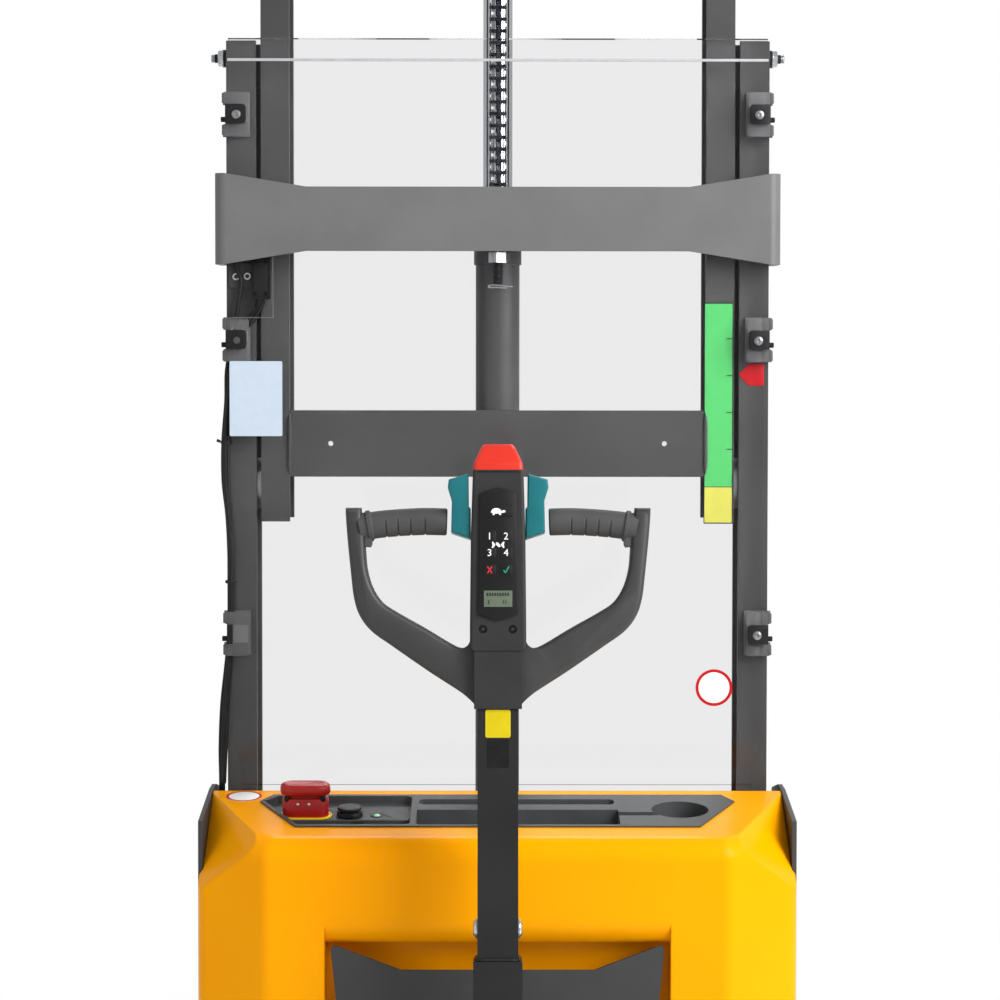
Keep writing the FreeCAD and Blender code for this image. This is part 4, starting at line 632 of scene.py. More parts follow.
# Each lead's route, from the switch or the yoke to behind the hood.
leads = {"radius": 2.9, "ties": ((-367, 1287), (-361, 1098)), "tail": (-375, -11, 1288), "routes": (
    ((-358, -8, 1560), (-353, -8, 1524), (-346.5, -9, 1505), (-349, -9, 1484), (-354, -9, 1450), (-358, -9, 1426),
     (-366, -8, 1385), (-367, -8, 1343), (-371, -8, 1289), (-371, -8, 1235), (-366, -7, 1187), (-363.5, -6, 1130),
     (-363.5, -6, 1058), (-364, -6, 1028), (-368, -6, 985), (-374, -4, 930), (-377, 2, 871), (-377, 8, 830),
     (-377, 10, 782)),
    ((-320, -10, 1478), (-326, -11, 1466), (-334, -11, 1456), (-346, -10, 1440), (-353, -9, 1424), (-359, -9, 1385),
     (-361.5, -9, 1343), (-364.5, -9, 1289), (-364.5, -9, 1235), (-361, -8, 1187), (-358.5, -7, 1130),
     (-358.5, -7, 1058), (-359, -7, 1028), (-362, -7, 985), (-366.5, -5, 930), (-369.5, -4, 871),
     (-371, -3, 842), (-372, -2, 822)),
    ((-316, -10, 1478), (-321, -13, 1466), (-330, -13, 1452), (-343, -12, 1437), (-351, -11, 1418),
     (-361, -13, 1385), (-364, -14, 1343), (-368, -14, 1289), (-368, -14, 1235), (-364, -12, 1187),
     (-361, -10, 1130), (-361, -10, 1058), (-361.5, -10, 1028), (-365, -11, 985), (-370, -9, 930),
     (-373, -4, 871), (-374, 4, 830), (-374, 6, 795)))}
parts = [lathed([(3.6, -1), (6.2, -1), (6.2, 3), (5.2, 4), (5.2, 10), (4.6, 13)], place(*switch["gland"]),
                (-0.3, 0, -1), 16)]
for route in leads["routes"]:
    parts.append(cord([place(*point) for point in route], leads["radius"], 10, 5))
for x, z in leads["ties"]:
    parts.append(lathed([(8, -1.8), (8, 1.8)], place(x, -10, z), (0, 0, 1), 14))
parts.append(lathed([(2, 0), (2, 5)], place(*leads["tail"]), (-1, 0, 0.4), 8))
addPiece("mast_leads", *merge(parts), blackPlastic, "chassis", "black_plastic", crease=50)


# Blank plates on the guard and the mast, and the sheets' sawn edges.

def slab(x0, x1, z0, z1, y, thick):
    # A plain bar facing the rear, its rear face at y.
    return prism([place(x0, y, z0), place(x1, y, z0), place(x1, y, z1), place(x0, y, z1)],
                 Vector((0, thick / 1000, 0)))


plates = {"load": (-361, -290, 1296, 1397), "film": 0.35,
          "arrow": ((341, 1394), (361, 1394), (361, 1364), (341, 1364), (326.5, 1379))}
plateAt("load_plate", roundRect(*plates["load"], 2), sheet["rear"] - 0.2, plates["film"], filmPale, "chassis",
        "clear_sheet")
strip = {"x": (281, 318), "green": (1227, 1475), "yellow": (1178, 1226), "edge": (279.8, 319.2, 1176.5, 1476.5),
         "step": 50, "tick": 8, "line": 1.3}
plateAt("height_strip_edge", roundRect(*strip["edge"], 1), -0.25, 0.25, filmBlack, "inner_mast", "black_plastic")
plateAt("height_strip_green", roundRect(*strip["x"], *strip["green"], 0.5), -0.5, 0.25, filmGreen, "inner_mast",
        "teal_plastic")
plateAt("height_strip_yellow", roundRect(*strip["x"], *strip["yellow"], 0.5), -0.5, 0.25, filmYellow, "inner_mast",
        "yellow_paint")
ticks = []
for k in range(1, 5):
    right, z = strip["x"][1], strip["green"][0] + k * strip["step"]
    ticks.append(slab(right - strip["tick"], right, z, z + strip["line"], -0.7, 0.2))
addPiece("height_strip_ticks", *merge(ticks), filmBlack, "inner_mast", "black_plastic")
plateAt("height_pointer", plates["arrow"], -1.2, 1.2, filmRed, "chassis", "red_plastic", 0.3)

# The notch's edges take the darker copy of the sawn-edge film as painted shade.
cuts = {"guard_cut_edges": (cutEdge, ((-363, 363, 1799.5, 1803),)),
        "guard_notch_edges": (cutEdgePaintedShade, ((-302.7, -302, 1455.3, 1540), (-357, -302, 1455.3, 1456)))}
for name, (material, lines) in cuts.items():
    addPiece(name, *merge([slab(*line, sheet["rear"], sheet["thick"]) for line in lines]), material, "chassis",
             "clear_sheet")
guardFoot = addPiece("guard_foot", *slab(*sheet["foot"], sheet["footRear"], sheet["thick"]), polycarbonate,
                     "chassis", "clear_sheet")
guardFoot.visible_shadow = False


def disc(name, centre, normal, radius, thick, material, body, slotName, inner=0.0, sides=40):
    # A thin disc or ring lying on a surface, its outer face towards normal.
    profile = [(inner, 0), (radius, 0), (radius, thick), (inner, thick)] if inner else \
        [(radius, 0), (radius, thick * 0.8), (radius - 0.2, thick)]
    verts, faces = lathed(profile, centre, normal, sides)
    if inner:
        faces = faces[:-2]
        faces += [[3 * sides + i, 3 * sides + (i + 1) % sides, (i + 1) % sides, i] for i in range(sides)]
    return addPiece(name, verts, faces, material, body, slotName)


signs = {"guard": (293, -24, 956), "guardFilm": 0.35, "guardRadii": (25, 21), "deck": (-340, -54),
         "deckFilm": 0.4, "deckRadii": (24, 20.5), "print": 0.15}
x, y, z = signs["guard"]
radius, inner = signs["guardRadii"]
disc("guard_disc", place(x, y, z), rearward, radius, signs["guardFilm"], filmWhite, "chassis", "clear_sheet")
disc("guard_disc_rim", place(x, y - signs["guardFilm"], z), rearward, radius, signs["print"], filmRed, "chassis",
     "red_plastic", inner)
print("stage 5: plates and switch")


# Hood deck: blank disc, tray, emergency stop, key switch, lamp.

deck = {"rear": (-259, 791), "front": (-26, 816), "panel": -7.7}
deckRun = Vector((0, deck["front"][0] - deck["rear"][0], deck["front"][1] - deck["rear"][1])).normalized()
deckUp = Vector((0, -deckRun.z, deckRun.y))


def deckHeight(y):
    share = (y - deck["rear"][0]) / (deck["front"][0] - deck["rear"][0])
    return deck["rear"][1] + share * (deck["front"][1] - deck["rear"][1])


def onDeck(x, y, high=0.0):
    return place(x, y, deckHeight(y)) + deckUp * (high / 1000)


radius, inner = signs["deckRadii"]
disc("deck_disc", onDeck(*signs["deck"]), deckUp, radius, signs["deckFilm"], filmWhite, "chassis", "clear_sheet")
disc("deck_disc_rim", onDeck(*signs["deck"], signs["deckFilm"]), deckUp, radius, signs["print"], filmRed, "chassis",
     "red_plastic", inner)


def pillOutline(x, y, wide, deep, steps=8):
    # A bar with round ends, seen from above: flat pairs in millimetres.
    r = deep / 2
    run = wide / 2 - r
    out = []
    for side, start in ((1, -90), (-1, 90)):
        for k in range(steps + 1):
            angle = math.radians(start + 180 * k / steps)
            out.append((x + side * run + r * math.cos(angle), y + r * math.sin(angle)))
    return out


# Rings of the emergency stop: how far its outline grows, height above the panel.
stop = {"at": (-253, -118), "size": (66, 34), "stud": 7.2, "notch": 23.5,
        "cap": ((-5, 30), (-1.0, 31), (0, 32.6), (0, 40), (-1.2, 43), (-4, 44.6), (-9, 45), (-10, 44.4)),
        "neck": ((-2.4, 0.3), (-2.4, 24.4), (-3.2, 26), (-7, 26.2), (-7, 31)),
        "collar": ((2.6, 0), (2.6, 1.4), (1.8, 2.2), (-0.8, 2.4), (-3, 1.4))}


def stopStack(rings):
    x, y = stop["at"]
    wide, deep = stop["size"]
    verts = []
    for grow, high in rings:
        outline = pillOutline(x, y, wide + 2 * grow, deep + 2 * grow)
        verts += [onDeck(a, b, deck["panel"] + high) for a, b in outline]
    return verts, skin(len(rings), len(outline))


stopPiece = addPiece("stop_head", *merge([stopStack(stop["cap"]), stopStack(stop["neck"])]), stopRed, "chassis",
                     "red_plastic", crease=40)
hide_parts("emergency_stop")
addPiece("stop_ring", *stopStack(stop["collar"]), ringYellow, "chassis", "yellow_paint", crease=40)
x, y = stop["at"]
studs = []
for shift in (-stop["stud"], stop["stud"]):
    studs.append(lathed([(2.1, -2), (2.1, 0.6), (1.3, 1.1)],
                        onDeck(x - 2 + shift, y - stop["size"][1] / 2 + 2.4, deck["panel"] + 19.5), rearward, 12))
addPiece("stop_studs", *merge(studs), zincPlate, "chassis", "zinc_steel")
notches = []
for side in (-1, 1):
    corners = [onDeck(x + side * stop["notch"] + a, y - 13.6, deck["panel"] + b)
               for a, b in ((-3.4, 23), (3.4, 23), (3.4, 30.4), (-3.4, 30.4))]
    notches.append(prism(corners, Vector((0, 0.018, 0))))
addPiece("stop_notches", *merge(notches), blackPlastic, "chassis", "black_plastic", bevel=1.0)

key = {"at": (-195, -118), "tab": ((-5, -19), (5, -19), (6.5, -12), (-6.5, -12)),
       "profile": ((17, 0), (17, 5.4), (16, 6.6), (13.4, 6.8), (13.4, 8.2), (15.6, 9), (16, 10.8), (15, 12.4),
                   (11, 13), (5, 13.1), (0.5, 13.1))}
x, y = key["at"]
keyPiece = addPiece("key_cap", *lathed(key["profile"], onDeck(x, y, deck["panel"]), deckUp, 32), blackPlastic,
                    "chassis", "black_plastic", crease=40)
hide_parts("key_switch")
tab = [onDeck(x + a, y + b, deck["panel"] + 1) for a, b in key["tab"]]
addPiece("key_cap_tab", *prism(tab, deckUp * 0.005), blackPlastic, "chassis", "black_plastic", bevel=1.2)

lamp = {"at": (-159, -118), "sunk": 0.2, "skin": "#9fc4ac", "glow": "#7ff08a",
        "lens": ((4.4, 0), (4.4, 0.8), (3.6, 1.8), (2.2, 2.4), (0.5, 2.6)),
        "rim": ((7.5, 0), (7.5, 0.5), (6.9, 0.9), (4.6, 0.7), (4.6, 0)),
        "symbol": ((-168, -116), (-163, -109), (-158, -106), (-152, -108), (-146, -115), (-139, -125))}


def lensMaterial():
    # Clear-green diffuser over a light-emitting diode: bright middle under a smooth skin.
    material, tree, surface, where = startMaterial("lampLens", {
        "Base Color": toLinear(lamp["skin"]), "IOR": 1.5, "Roughness": 0.12, "Coat Weight": 0.5,
        "Emission Color": toLinear(lamp["glow"]), "Emission Strength": 0.25})
    bumped(tree, surface, where, 1.2, 0.1, 0.02)
    return material


lampAt = onDeck(*lamp["at"], deck["panel"] - lamp["sunk"])
addPiece("lamp_lens", *lathed(lamp["lens"], lampAt, deckUp), lensMaterial(), "chassis", "teal_plastic")
addPiece("lamp_rim", *lathed(lamp["rim"], lampAt, deckUp, 32), trayPlastic, "chassis", "black_plastic")
low = [onDeck(x, y + 4, deck["panel"] - 0.1) for x, y in lamp["symbol"]] + \
    [onDeck(x, y - 4, deck["panel"] - 0.1) for x, y in lamp["symbol"][::-1]]
addPiece("charge_symbol", *prism(low, deckUp * 0.0003), filmBlack, "chassis", "black_plastic")

# The ridge between the panel and the gutter in front of it sinks and bends forward at its right end.
ridge = {"far": -139, "near": -160.5, "high": -0.8, "low": (-15.7, -7.9), "right": -119, "left": (-284, -272),
         "steps": 14, "fade": 3, "reach": 0.955, "spread": 3.6, "bend": 14}
sections = []
for y, high in ((ridge["far"], deck["panel"] - 0.3), (ridge["near"] + 1.5, ridge["high"]),
                (ridge["near"], ridge["high"] - 1), (ridge["near"], ridge["low"][0]),
                (ridge["far"], ridge["low"][1])):
    share = (ridge["far"] - y) / (ridge["far"] - ridge["near"])
    left = ridge["left"][0] + (ridge["left"][1] - ridge["left"][0]) * share
    sections.append((y, high, left))
straight = ridge["steps"] - ridge["fade"]
verts = []
for k in range(ridge["steps"] + 1):
    drop = max(0.0, (k - straight) / ridge["fade"])
    for y, high, left in sections:
        x = left + (ridge["right"] - left) * min(1.0, k / straight * ridge["reach"]) + ridge["spread"] * drop
        sunk = high + (deck["panel"] - high) * drop ** 2 if high > deck["panel"] else high
        verts.append(onDeck(x, y + ridge["bend"] * drop ** 2, sunk))
addPiece("panel_ridge", verts, skin(ridge["steps"] + 1, len(sections)), trayPlastic, "chassis", "black_plastic",
         crease=50)
# The vent slots are drawn as flat black film on the ridge's near wall: painted shade standing in for the openings.
vents = []
for k in range(6):
    corners = [onDeck(-190.5 + k * 2.8 + x, -161, z) for x, z in ((0, -7.4), (1.3, -7.4), (1.3, -3.6), (0, -3.6))]
    vents.append(prism(corners, Vector((0, 0.0004, 0))))
addPiece("tray_vents_painted_shade", *merge(vents), filmBlack, "chassis", "black_plastic")
print("stage 6: deck")


# Tiller head: keypad, display, screws, rockers, button, labels.

head = {"front": -28, "panel": -31.4}


def onPanel(x, w, high):
    return onTiller(x, head["panel"] - high, w)


def panelPrism(outline, low, high):
    # A flat shape on the keypad between two heights above its panel.
    return prism([onPanel(x, w, low) for x, w in outline], onPanel(0, 0, high) - onPanel(0, 0, low))


def panelPlate(name, outline, high, thick, material, slotName, bevel=0.0):
    return addPiece(name, *panelPrism(outline, high, high + thick), material, "tiller", slotName, bevel=bevel)


# Keys are (x, w, wide, high); cap and print are heights above the panel.
keypad = {"outline": ((0, 809), (12, 805.4), (20.6, 802.6), (22.2, 800), (24.3, 655), (23.4, 652), (12, 648),
                      (0, 645), (-12, 648), (-23.4, 652), (-24.3, 655), (-22.2, 800), (-20.6, 802.6), (-12, 805.4)),
          "keys": ((-10.1, 748, 15, 15), (10.1, 748, 15, 15), (-10.1, 727.3, 15, 15), (10.1, 727.3, 15, 15),
                   (-10.1, 706.8, 15, 14), (10.1, 706.8, 15, 14), (0, 780, 38, 16)),
          "corner": 3.4, "cap": (0.1, 0.8), "print": (0.9, 1.1)}
panelFace = panelPlate("keypad_face", keypad["outline"], -2.6, 2.8, keyFilm, "black_plastic", 0.6)
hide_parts("tiller_keypad")
keys = []
for x, w, wide, high in keypad["keys"]:
    outline = roundRect(x - wide / 2, x + wide / 2, w - high / 2, w + high / 2, keypad["corner"])
    keys.append(panelPrism(outline, *keypad["cap"]))
addPiece("keypad_keys", *merge(keys), keyFilm, "tiller", "black_plastic", bevel=0.5)


def addFigure(name, text, x, w, size, material):
    # A plain raised figure on the keypad.
    curve = bpy.data.curves.new(name, "FONT")
    curve.body = text
    curve.size = size / 1000
    curve.extrude = 0.00015
    curve.align_x = "CENTER"
    curve.align_y = "CENTER"
    curve.resolution_u = 4
    holder = bpy.data.objects.new(name + "_curve", curve)
    scene.collection.objects.link(holder)
    bpy.context.view_layer.update()
    mesh = bpy.data.meshes.new_from_object(holder.evaluated_get(bpy.context.evaluated_depsgraph_get()))
    bpy.data.objects.remove(holder)
    obj = bpy.data.objects.new(name, mesh)
    mesh.materials.clear()
    mesh.materials.append(material)
    scene.collection.objects.link(obj)
    obj.matrix_world = tillerFrame @ Matrix.Translation((x / 1000, (head["panel"] - 0.95) / 1000, w / 1000)) \
        @ Matrix.Rotation(math.radians(90), 4, "X")
    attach(obj, "tiller")


for digit, x, w in (("1", -10.6, 748), ("2", 9.7, 748), ("3", -10.6, 727.6), ("4", 9.9, 727.6)):
    addFigure("figure_" + digit, digit, x, w, 12.5, filmGlyph)


def stroke(points, wide):
    # A flat line of even width through (x, w) points on the keypad.
    parts = []
    for (x0, w0), (x1, w1) in zip(points, points[1:]):
        run = Vector((x1 - x0, w1 - w0)).normalized()
        side = Vector((-run.y, run.x)) * wide / 2
        corners = [(x0 + side.x, w0 + side.y), (x0 - side.x, w0 - side.y), (x1 - side.x, w1 - side.y),
                   (x1 + side.x, w1 + side.y)]
        parts.append(panelPrism(corners, *keypad["print"]))
    return parts


cancel = stroke([(-13.2, 711), (-7.6, 702.6)], 1.5) + stroke([(-7.6, 711), (-13.2, 702.6)], 1.5)
addPiece("key_mark_cancel", *merge(cancel), filmCross, "tiller", "red_plastic")
accept = stroke([(6.8, 706.4), (9, 703), (13.4, 711.2)], 1.3)
addPiece("key_mark_accept", *merge(accept), filmTick, "tiller", "teal_plastic")
back = [math.pi - math.pi * k / 10 for k in range(11)]
shell = [(-8.4, 778.6)] + [(-2 + 5.6 * math.cos(angle), 778.6 + 4.6 * math.sin(angle)) for angle in back] + [
    (3.8, 779.4), (5.6, 780.6), (7.6, 780.4), (8.2, 779), (7.4, 777.8), (5, 777.4), (2.8, 776.6), (3.4, 774.6),
    (1.4, 774.6), (0.4, 776.4), (-3.4, 776.4), (-4.2, 774.6), (-6.2, 774.6), (-5.6, 776.8), (-7.4, 777.2)]
addPiece("key_mark_slow", *panelPrism([(x * 1.12, w) for x, w in shell], *keypad["print"]), filmGlyph, "tiller",
         "black_plastic")
horn = []
for side in (-1, 1):
    horn.append([(side * 3.4, 737.2), (side * 3.4, 738.2), (side * 6.6, 741.8), (side * 7.8, 741.2),
                 (side * 7, 737.7), (side * 7.8, 734.2), (side * 6.6, 733.6)])
horn.append([(-2.8, 739.4), (-1.8, 741), (0, 740.4), (2.4, 737.8), (3, 735.6), (1.6, 734.8), (-0.4, 735.6),
             (-2.2, 737.6)])
addPiece("key_mark_horn", *merge([panelPrism(mark, *keypad["print"]) for mark in horn]), filmGlyph, "tiller",
         "black_plastic")

display = {"rim": (-18.6, 18.6, 660, 682.4), "glass": (-17.4, 17.4, 661.2, 681.2), "bar": (2.3, 674.6, 678.4),
           "signs": ((-12.5, -10.9, 664.5, 669.4), (6, 7, 665, 669.4), (9, 10, 665, 669.4)), "ink": (0.76, 0.86)}
panelPlate("display_rim", roundRect(*display["rim"], 1.2), 0.1, 0.5, blackPlastic, "black_plastic", 0.2)
panelPlate("display_glass", roundRect(*display["glass"], 0.6), 0.5, 0.25, displayGlass, "clear_sheet")
wide, low, high = display["bar"]
bars = [(-14.4 + k * 3.2, -14.4 + k * 3.2 + wide, low, high) for k in range(9)] + list(display["signs"])
bars = [panelPrism([(x0, w0), (x1, w0), (x1, w1), (x0, w1)], *display["ink"]) for x0, x1, w0, w1 in bars]
addPiece("display_bars", *merge(bars), displayInk, "tiller", "black_plastic")

parts = []
for x in (-18.4, 18.4):
    parts.append(lathed([(5.2, -0.5), (5.2, 0.3), (4.3, 0.5), (4.0, 0.2), (2.2, 0.1), (1.9, -0.4)],
                        onTiller(x, head["front"], 634), tillerFrame.to_3x3() @ rearward))
addPiece("head_screws", *merge(parts), blackScrew, "tiller", "zinc_steel")

# Sections are (depth, how far the outline shrinks).
rocker = {"outline": ((34.2, 746), (58.3, 754), (57.5, 793), (62.7, 810), (61.4, 820), (37, 827), (36.6, 786),
                      (34.2, 784)),
          "middle": (47, 788), "reach": 34,
          "sections": ((-22, 3.0), (-20.8, 0.9), (-18, 0), (17, 0), (20.6, 0.9), (22, 3.0))}
cx, cw = rocker["middle"]
parts = []
for side in (-1, 1):
    verts = []
    for depth, shrink in rocker["sections"]:
        k = 1 - shrink / rocker["reach"]
        verts += [onTiller(side * (cx + (x - cx) * k), depth, cw + (w - cw) * k) for x, w in rocker["outline"]]
    parts.append((verts, skin(len(rocker["sections"]), len(rocker["outline"]))))
rockers = addPiece("rocker_wings", *merge(parts), tealPlastic, "tiller", "teal_plastic", bevel=1.2, segments=3,
                   crease=25)
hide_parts("tiller_rockers")

# Rings are (w, half width, rear, front).
belly = {"seam": 827.6, "rings": ((829.5, 30.5, -27, 26), (832, 31.2, -28.4, 27.4), (840.5, 30.2, -28.2, 27),
                                  (842, 29.4, -27, 26.4), (857, 22.8, -15, 17), (863.5, 19.6, -8, 10),
                                  (865, 17.6, -5.5, 7.5))}
seam = [onTiller(x, y, belly["seam"]) for x, y in roundRect(-31, 31, -28, 27, 5)]
addPiece("button_seam", *prism(seam, onTiller(0, 0, 1.9) - onTiller(0, 0, 0)), blackPlastic, "tiller",
         "black_plastic")
verts = [onTiller(x, y, w) for w, half, y0, y1 in belly["rings"] for x, y in roundRect(-half, half, y0, y1, 5)]
faces = skin(len(belly["rings"]), len(verts) // len(belly["rings"]))
button = addPiece("belly_button", verts, faces, signalRed, "tiller", "red_plastic", crease=28)
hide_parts("reversing_button")

labels = (("tube_label_upper", 501, 535, 15.5, filmLabel), ("tube_label_lower", 464, 499, 13.6, filmBlack))
for name, w0, w1, half, film in labels:
    low = [onTiller(x, -25.0, w) for x, w in roundRect(-half, half, w0, w1, 2.4)]
    addPiece(name, *prism(low, onTiller(0, -25.3, 0) - onTiller(0, -25, 0)), film, "tiller", "black_plastic")

# The loop's arms: one smooth outline each, its edges rounded by rings that step inwards front and rear.
loop = {
    "outer": ((28.4, 541), (44.5, 555.5), (84.6, 581.4), (130.2, 612.7), (156.9, 631.8), (171.7, 650.9),
              (179, 673), (182.8, 702.7), (187.7, 749), (190, 779)),
    "cap": ((190, 785.4), (170.4, 785.4)),
    "inner": ((168.5, 768), (165.5, 750), (164.6, 735.4), (162.3, 710), (155.6, 687), (143.5, 668.3),
              (124.8, 655.4), (90, 635.9), (57.8, 616.6), (46, 611.6), (39.6, 612.8), (35.8, 617), (33.6, 623)),
    "foot": ((33.6, 613), (28.4, 605)),
    "rings": ((-15, 6.5), (-14.2, 4), (-12.6, 2.1), (-10, 0.7), (-6, 0), (6, 0), (10, 0.7), (12.6, 2.1),
              (14.2, 4), (15, 6.5))}


def smoothFlat(points, steps=5):
    return [(v.x, v.y) for v in smoothPath([Vector((a, b, 0)) for a, b in points], steps)]


flat = smoothFlat(loop["outer"]) + list(loop["cap"]) + smoothFlat(loop["inner"]) + list(loop["foot"])
count = len(flat)
inwards = []
for i, (x, w) in enumerate(flat):
    before, after = Vector(flat[i - 1]), Vector(flat[(i + 1) % count])
    run = (after - before).normalized()
    hold = min(1.0, max(0.0, (x - 40) / 18))
    inwards.append(Vector((-run.y, run.x)) * hold)
parts = []
for side in (-1, 1):
    verts = []
    for depth, inset in loop["rings"]:
        verts += [onTiller(side * (x + n.x * inset), depth, w + n.y * inset) for (x, w), n in zip(flat, inwards)]
    parts.append((verts, skin(len(loop["rings"]), count)))
loopPiece = addPiece("loop_arms", *merge(parts), loopPlastic, "tiller", "black_plastic", crease=38)
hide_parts("tiller_loop")

grip = {"path": ((63.6, 768), (85, 768.6), (105, 768.2), (130, 766.6), (150, 764.6), (166, 762), (174, 760.4)),
        "radius": 17, "sides": 28, "notches": (91, 109, 125, 140), "notch": 1.5,
        "stops": (63.6, 64.4, 66, 76, 84, 99, 103, 117, 132, 150, 156, 157.2, 158, 162.5, 163.3, 173),
        "hook": ((156.6, 752), (166, 752), (165.6, 737.4), (159, 736.6), (157, 740))}


def gripRadius(x):
    # The tube tapers at its inner end and carries a collar at its outer one.
    radius = grip["radius"]
    if x < 65:
        radius -= 1.6 if x < 64 else 0.5
    if x > 157:
        radius += 2.6 if 158 <= x <= 162.6 else 0.8
    return radius


def gripBody(side):
    # The grip's tube with four finger notches under its front.
    stops = sorted(list(grip["stops"]) + [x + d for x in grip["notches"] for d in (-1.3, 0, 1.3)])
    centres = smoothFlat(grip["path"], 8)
    verts = []
    for x in stops:
        low, high = [pair for pair in zip(centres, centres[1:]) if pair[0][0] <= x + 1e-6][-1]
        share = (x - low[0]) / (high[0] - low[0])
        w = low[1] + (high[1] - low[1]) * share
        lean = math.atan2(high[1] - low[1], high[0] - low[0])
        for i in range(grip["sides"]):
            angle = 2 * math.pi * i / grip["sides"]
            down, back = math.cos(angle), math.sin(angle)
            cut = x in grip["notches"] and (down > 0.25 or back > 0.8 and down > -0.1)
            r = gripRadius(x) - (grip["notch"] if cut else 0)
            verts.append(onTiller(side * (x + down * r * math.sin(lean)), -back * r, w - down * r * math.cos(lean)))
    return verts, skin(len(stops), grip["sides"])


parts = []
for side in (-1, 1):
    parts.append(gripBody(side))
    hook = [onTiller(side * x, -11, w) for x, w in grip["hook"]]
    parts.append(prism(hook, onTiller(0, 11, 0) - onTiller(0, -11, 0)))
gripPiece = addPiece("grip_sleeves", *merge(parts), gripPlastic, "tiller", "black_plastic", crease=30)
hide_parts("tiller_grips")
neckSeam = [onTiller(x, -28.2, w) for x, w in ((-29.2, 606.2), (29.2, 606.2), (29.2, 607.4), (-29.2, 607.4))]
addPiece("neck_seam", *prism(neckSeam, onTiller(0, 0.4, 0) - onTiller(0, 0, 0)), blackPlastic, "tiller",
         "black_plastic")

parts = []
for side in (-1, 1):
    outward, origin = Vector((side, 0, 0)), onTiller(25 * side, 0, 268)
    parts.append(domeHead(origin, outward, 22, 5.6))
    parts.append(lathed([(12.6, 0), (12.6, 1.6), (12, 1.9)], origin, outward))
addPiece("tube_bolts", *merge(parts), zincPlate, "tiller", "zinc_steel")
seams = []
for a, b in (((-25, -26), (25, -26)), ((25, 26), (-25, 26)), ((-26, -25), (-26, 25)), ((26, 25), (26, -25))):
    seams.append(weldBead(onTiller(*a, 231.5), onTiller(*b, 231.5), 2.7, 3.0))
addPiece("sleeve_welds", *merge(seams), powderTiller, "tiller", "charcoal_paint", crease=70)
print("stage 7: tiller head")


# Chassis, wheels and forks.

drive = {"axis": (0, -294, 110), "face": 33, "studs": 5, "circle": 46}
parts = []
x, y, z = drive["axis"]
for side in (-1, 1):
    for k in range(drive["studs"]):
        angle = 2 * math.pi * k / drive["studs"]
        centre = place(x + side * drive["face"], y + drive["circle"] * math.cos(angle),
                       z + drive["circle"] * math.sin(angle))
        parts.append(hexagon(centre, (side, 0, 0), 17, 1.6, 0.5))
addPiece("drive_wheel_nuts", *merge(parts), zincPlate, "drive_wheel", "zinc_steel")

caster = {"at": (275, -162, 65), "nut": 31, "hub": 22.5,
          "profile": ((24, -1), (24, 1.2), (21, 1.6), (16, 0.6), (11, 0.6), (11, -1))}
roller = {"at": (195, 1175, 34), "bolt": 55, "washer": 54.6}
for name, side in (("left", -1), ("right", 1)):
    hubs, nuts, bolts = [], [], []
    for face in (-1, 1):
        x, y, z = caster["at"]
        axle = place(side * x + face * caster["nut"], y, z)
        nuts.append(hexagon(axle, (face, 0, 0), 24, 5.5))
        nuts.append(lathed([(15, -1.6), (15, 0), (14.2, 0.4)], axle, (face, 0, 0)))
        hubs.append(lathed(caster["profile"], place(side * x + face * caster["hub"], y, z), (face, 0, 0), 32))
        x, y, z = roller["at"]
        bolts.append(hexagon(place(side * x + face * roller["bolt"], y, z), (face, 0, 0), 22, 4.5))
        bolts.append(lathed([(14, 0), (14, 1.2), (13.2, 1.5)], place(side * x + face * roller["washer"], y, z),
                            (face, 0, 0)))
    addPiece("caster_axle_nuts_" + name, *merge(nuts), zincPlate, "caster_fork_" + name, "zinc_steel")
    addPiece("caster_hub_" + name, *merge(hubs), trayPlastic, "caster_wheel_" + name, "black_plastic")
    addPiece("load_roller_bolts_" + name, *merge(bolts), zincPlate, "chassis", "zinc_steel")

addWelds("foot_welds", welds["foot"], powderDark, "chassis")
addWelds("fork_welds", welds["fork"], powderMast, "carriage")

apronBolts = [domeHead(place(x, -254, z), rearward, 13, 4.2)
              for x, z in ((-165, 372), (165, 372), (-185, 560), (185, 560))]
addPiece("apron_bolts", *merge(apronBolts), blackScrew, "chassis", "zinc_steel")
print("stage 8: chassis and wheels")


# Camera, lamps, floor. Angles are in degrees, places in metres.

view = {"lens": 97.2, "at": (-0.009, -4.090, 1.45), "down": 2.1, "right": 0.192, "roll": -0.06,
        "shift": -0.079}
camera = bpy.data.objects.new("camera", bpy.data.cameras.new("camera"))
camera.data.lens = view["lens"]
camera.data.sensor_width = 36
camera.data.shift_y = view["shift"]
camera.data.clip_end = 60
camera.location = view["at"]
camera.rotation_mode = "XYZ"
turn = Matrix.Rotation(math.radians(-view["right"]), 4, "Z") \
    @ Matrix.Rotation(math.radians(90 - view["down"]), 4, "X") \
    @ Matrix.Rotation(math.radians(-view["roll"]), 4, "Z")
camera.rotation_euler = turn.to_euler("XYZ")
scene.collection.objects.link(camera)
scene.camera = camera


lamps = {
    "key": {"at": (2.0, -2.1, 2.5), "aim": (0.2, -0.4, 1.3), "size": (1.7, 2.2), "power": 113},
    "fill": {"at": (-3.0, -3.0, 2.0), "aim": (0, -0.4, 1.0), "size": (1.6, 2.4), "power": 10},
    "rim": {"at": (0.5, 3.0, 4.0), "aim": (0, 0, 1.4), "size": (2.6, 1.4), "power": 45},
}
for name, item in lamps.items():
    data = bpy.data.lights.new(name, "AREA")
    data.shape = "RECTANGLE"
    data.size, data.size_y = item["size"]
    data.energy = item["power"]
    light = bpy.data.objects.new(name, data)
    light.location = item["at"]
    light.rotation_euler = (Vector(item["aim"]) - Vector(item["at"])).to_track_quat("-Z", "Y").to_euler()
    light.visible_camera = False
    scene.collection.objects.link(light)


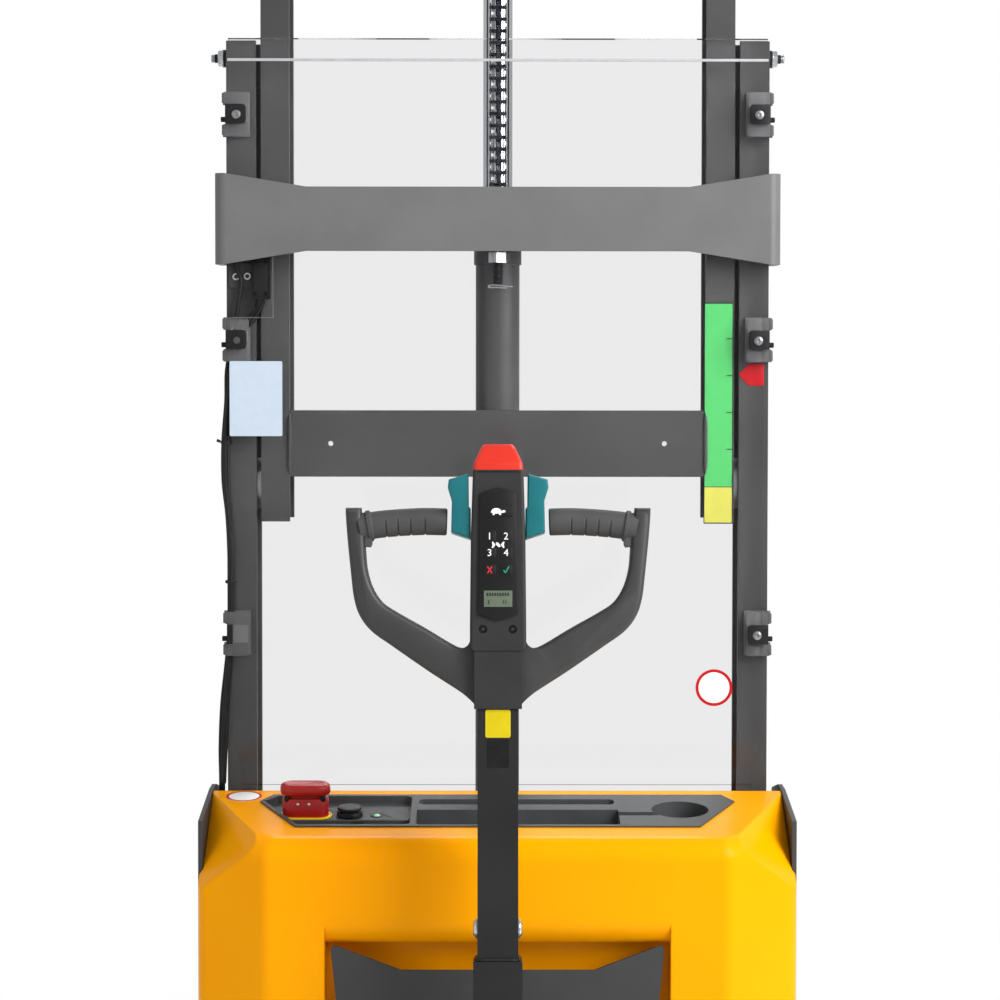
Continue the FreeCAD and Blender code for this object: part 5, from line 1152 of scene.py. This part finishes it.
def seenDirectly(tree):
    # One for rays that come straight from the camera or through clear plastic, nought for the others.
    path = addNode(tree, "ShaderNodeLightPath")
    seen = addNode(tree, "ShaderNodeMath", {"operation": "MAXIMUM"})
    tree.links.new(path.outputs["Is Camera Ray"], seen.inputs[0])
    tree.links.new(path.outputs["Is Transmission Ray"], seen.inputs[1])
    return seen.outputs[0]


sky = {"ambient": 0.58, "white": 1.0}
world = bpy.data.worlds.new("studio")
scene.world = world
world.use_nodes = True
world.node_tree.nodes.clear()
bright = addNode(world.node_tree, "ShaderNodeMapRange", {"To Min": sky["ambient"], "To Max": sky["white"]},
                 {"Value": seenDirectly(world.node_tree)})
ground = addNode(world.node_tree, "ShaderNodeBackground", {"Color": (1, 1, 1, 1)}, {"Strength": bright.outputs[0]})
addNode(world.node_tree, "ShaderNodeOutputWorld", links={"Surface": ground.outputs[0]})

paper = {"half": 14, "colour": "#f6f6f6", "near": 1.1, "far": 1.9}
floorMesh = bpy.data.meshes.new("floor")
floorMesh.from_pydata([(x * paper["half"], y * paper["half"], 0) for x, y in ((-1, -1), (1, -1), (1, 1), (-1, 1))],
                      [], [[0, 1, 2, 3]])
floor = bpy.data.objects.new("floor", floorMesh)
scene.collection.objects.link(floor)


def paleFloor():
    # Matt white paper: keeps the shadow near the machine and fades to plain white further out.
    material = bpy.data.materials.new("paperFloor")
    material.use_nodes = True
    tree = material.node_tree
    tree.nodes.clear()
    matt = addNode(tree, "ShaderNodeBsdfDiffuse", {"Color": toLinear(paper["colour"])})
    glow = addNode(tree, "ShaderNodeEmission", {"Color": (1, 1, 1, 1), "Strength": 1.0})
    where = addNode(tree, "ShaderNodeTexCoord").outputs["Object"]
    away = addNode(tree, "ShaderNodeVectorMath", {"operation": "LENGTH"}, {"Vector": where})
    fade = addNode(tree, "ShaderNodeMapRange", {"From Min": paper["near"], "From Max": paper["far"],
                                                "interpolation_type": "SMOOTHSTEP"},
                   {"Value": away.outputs["Value"]})
    both = addNode(tree, "ShaderNodeMath", {"operation": "MULTIPLY"})
    tree.links.new(seenDirectly(tree), both.inputs[0])
    tree.links.new(fade.outputs[0], both.inputs[1])
    mix = addNode(tree, "ShaderNodeMixShader", links={"Fac": both.outputs[0]})
    tree.links.new(matt.outputs[0], mix.inputs[1])
    tree.links.new(glow.outputs[0], mix.inputs[2])
    addNode(tree, "ShaderNodeOutputMaterial", links={"Surface": mix.outputs[0]})
    return material


floorMesh.materials.append(paleFloor())
scene.view_settings.view_transform = "Standard"
print("stage 9: camera and light")
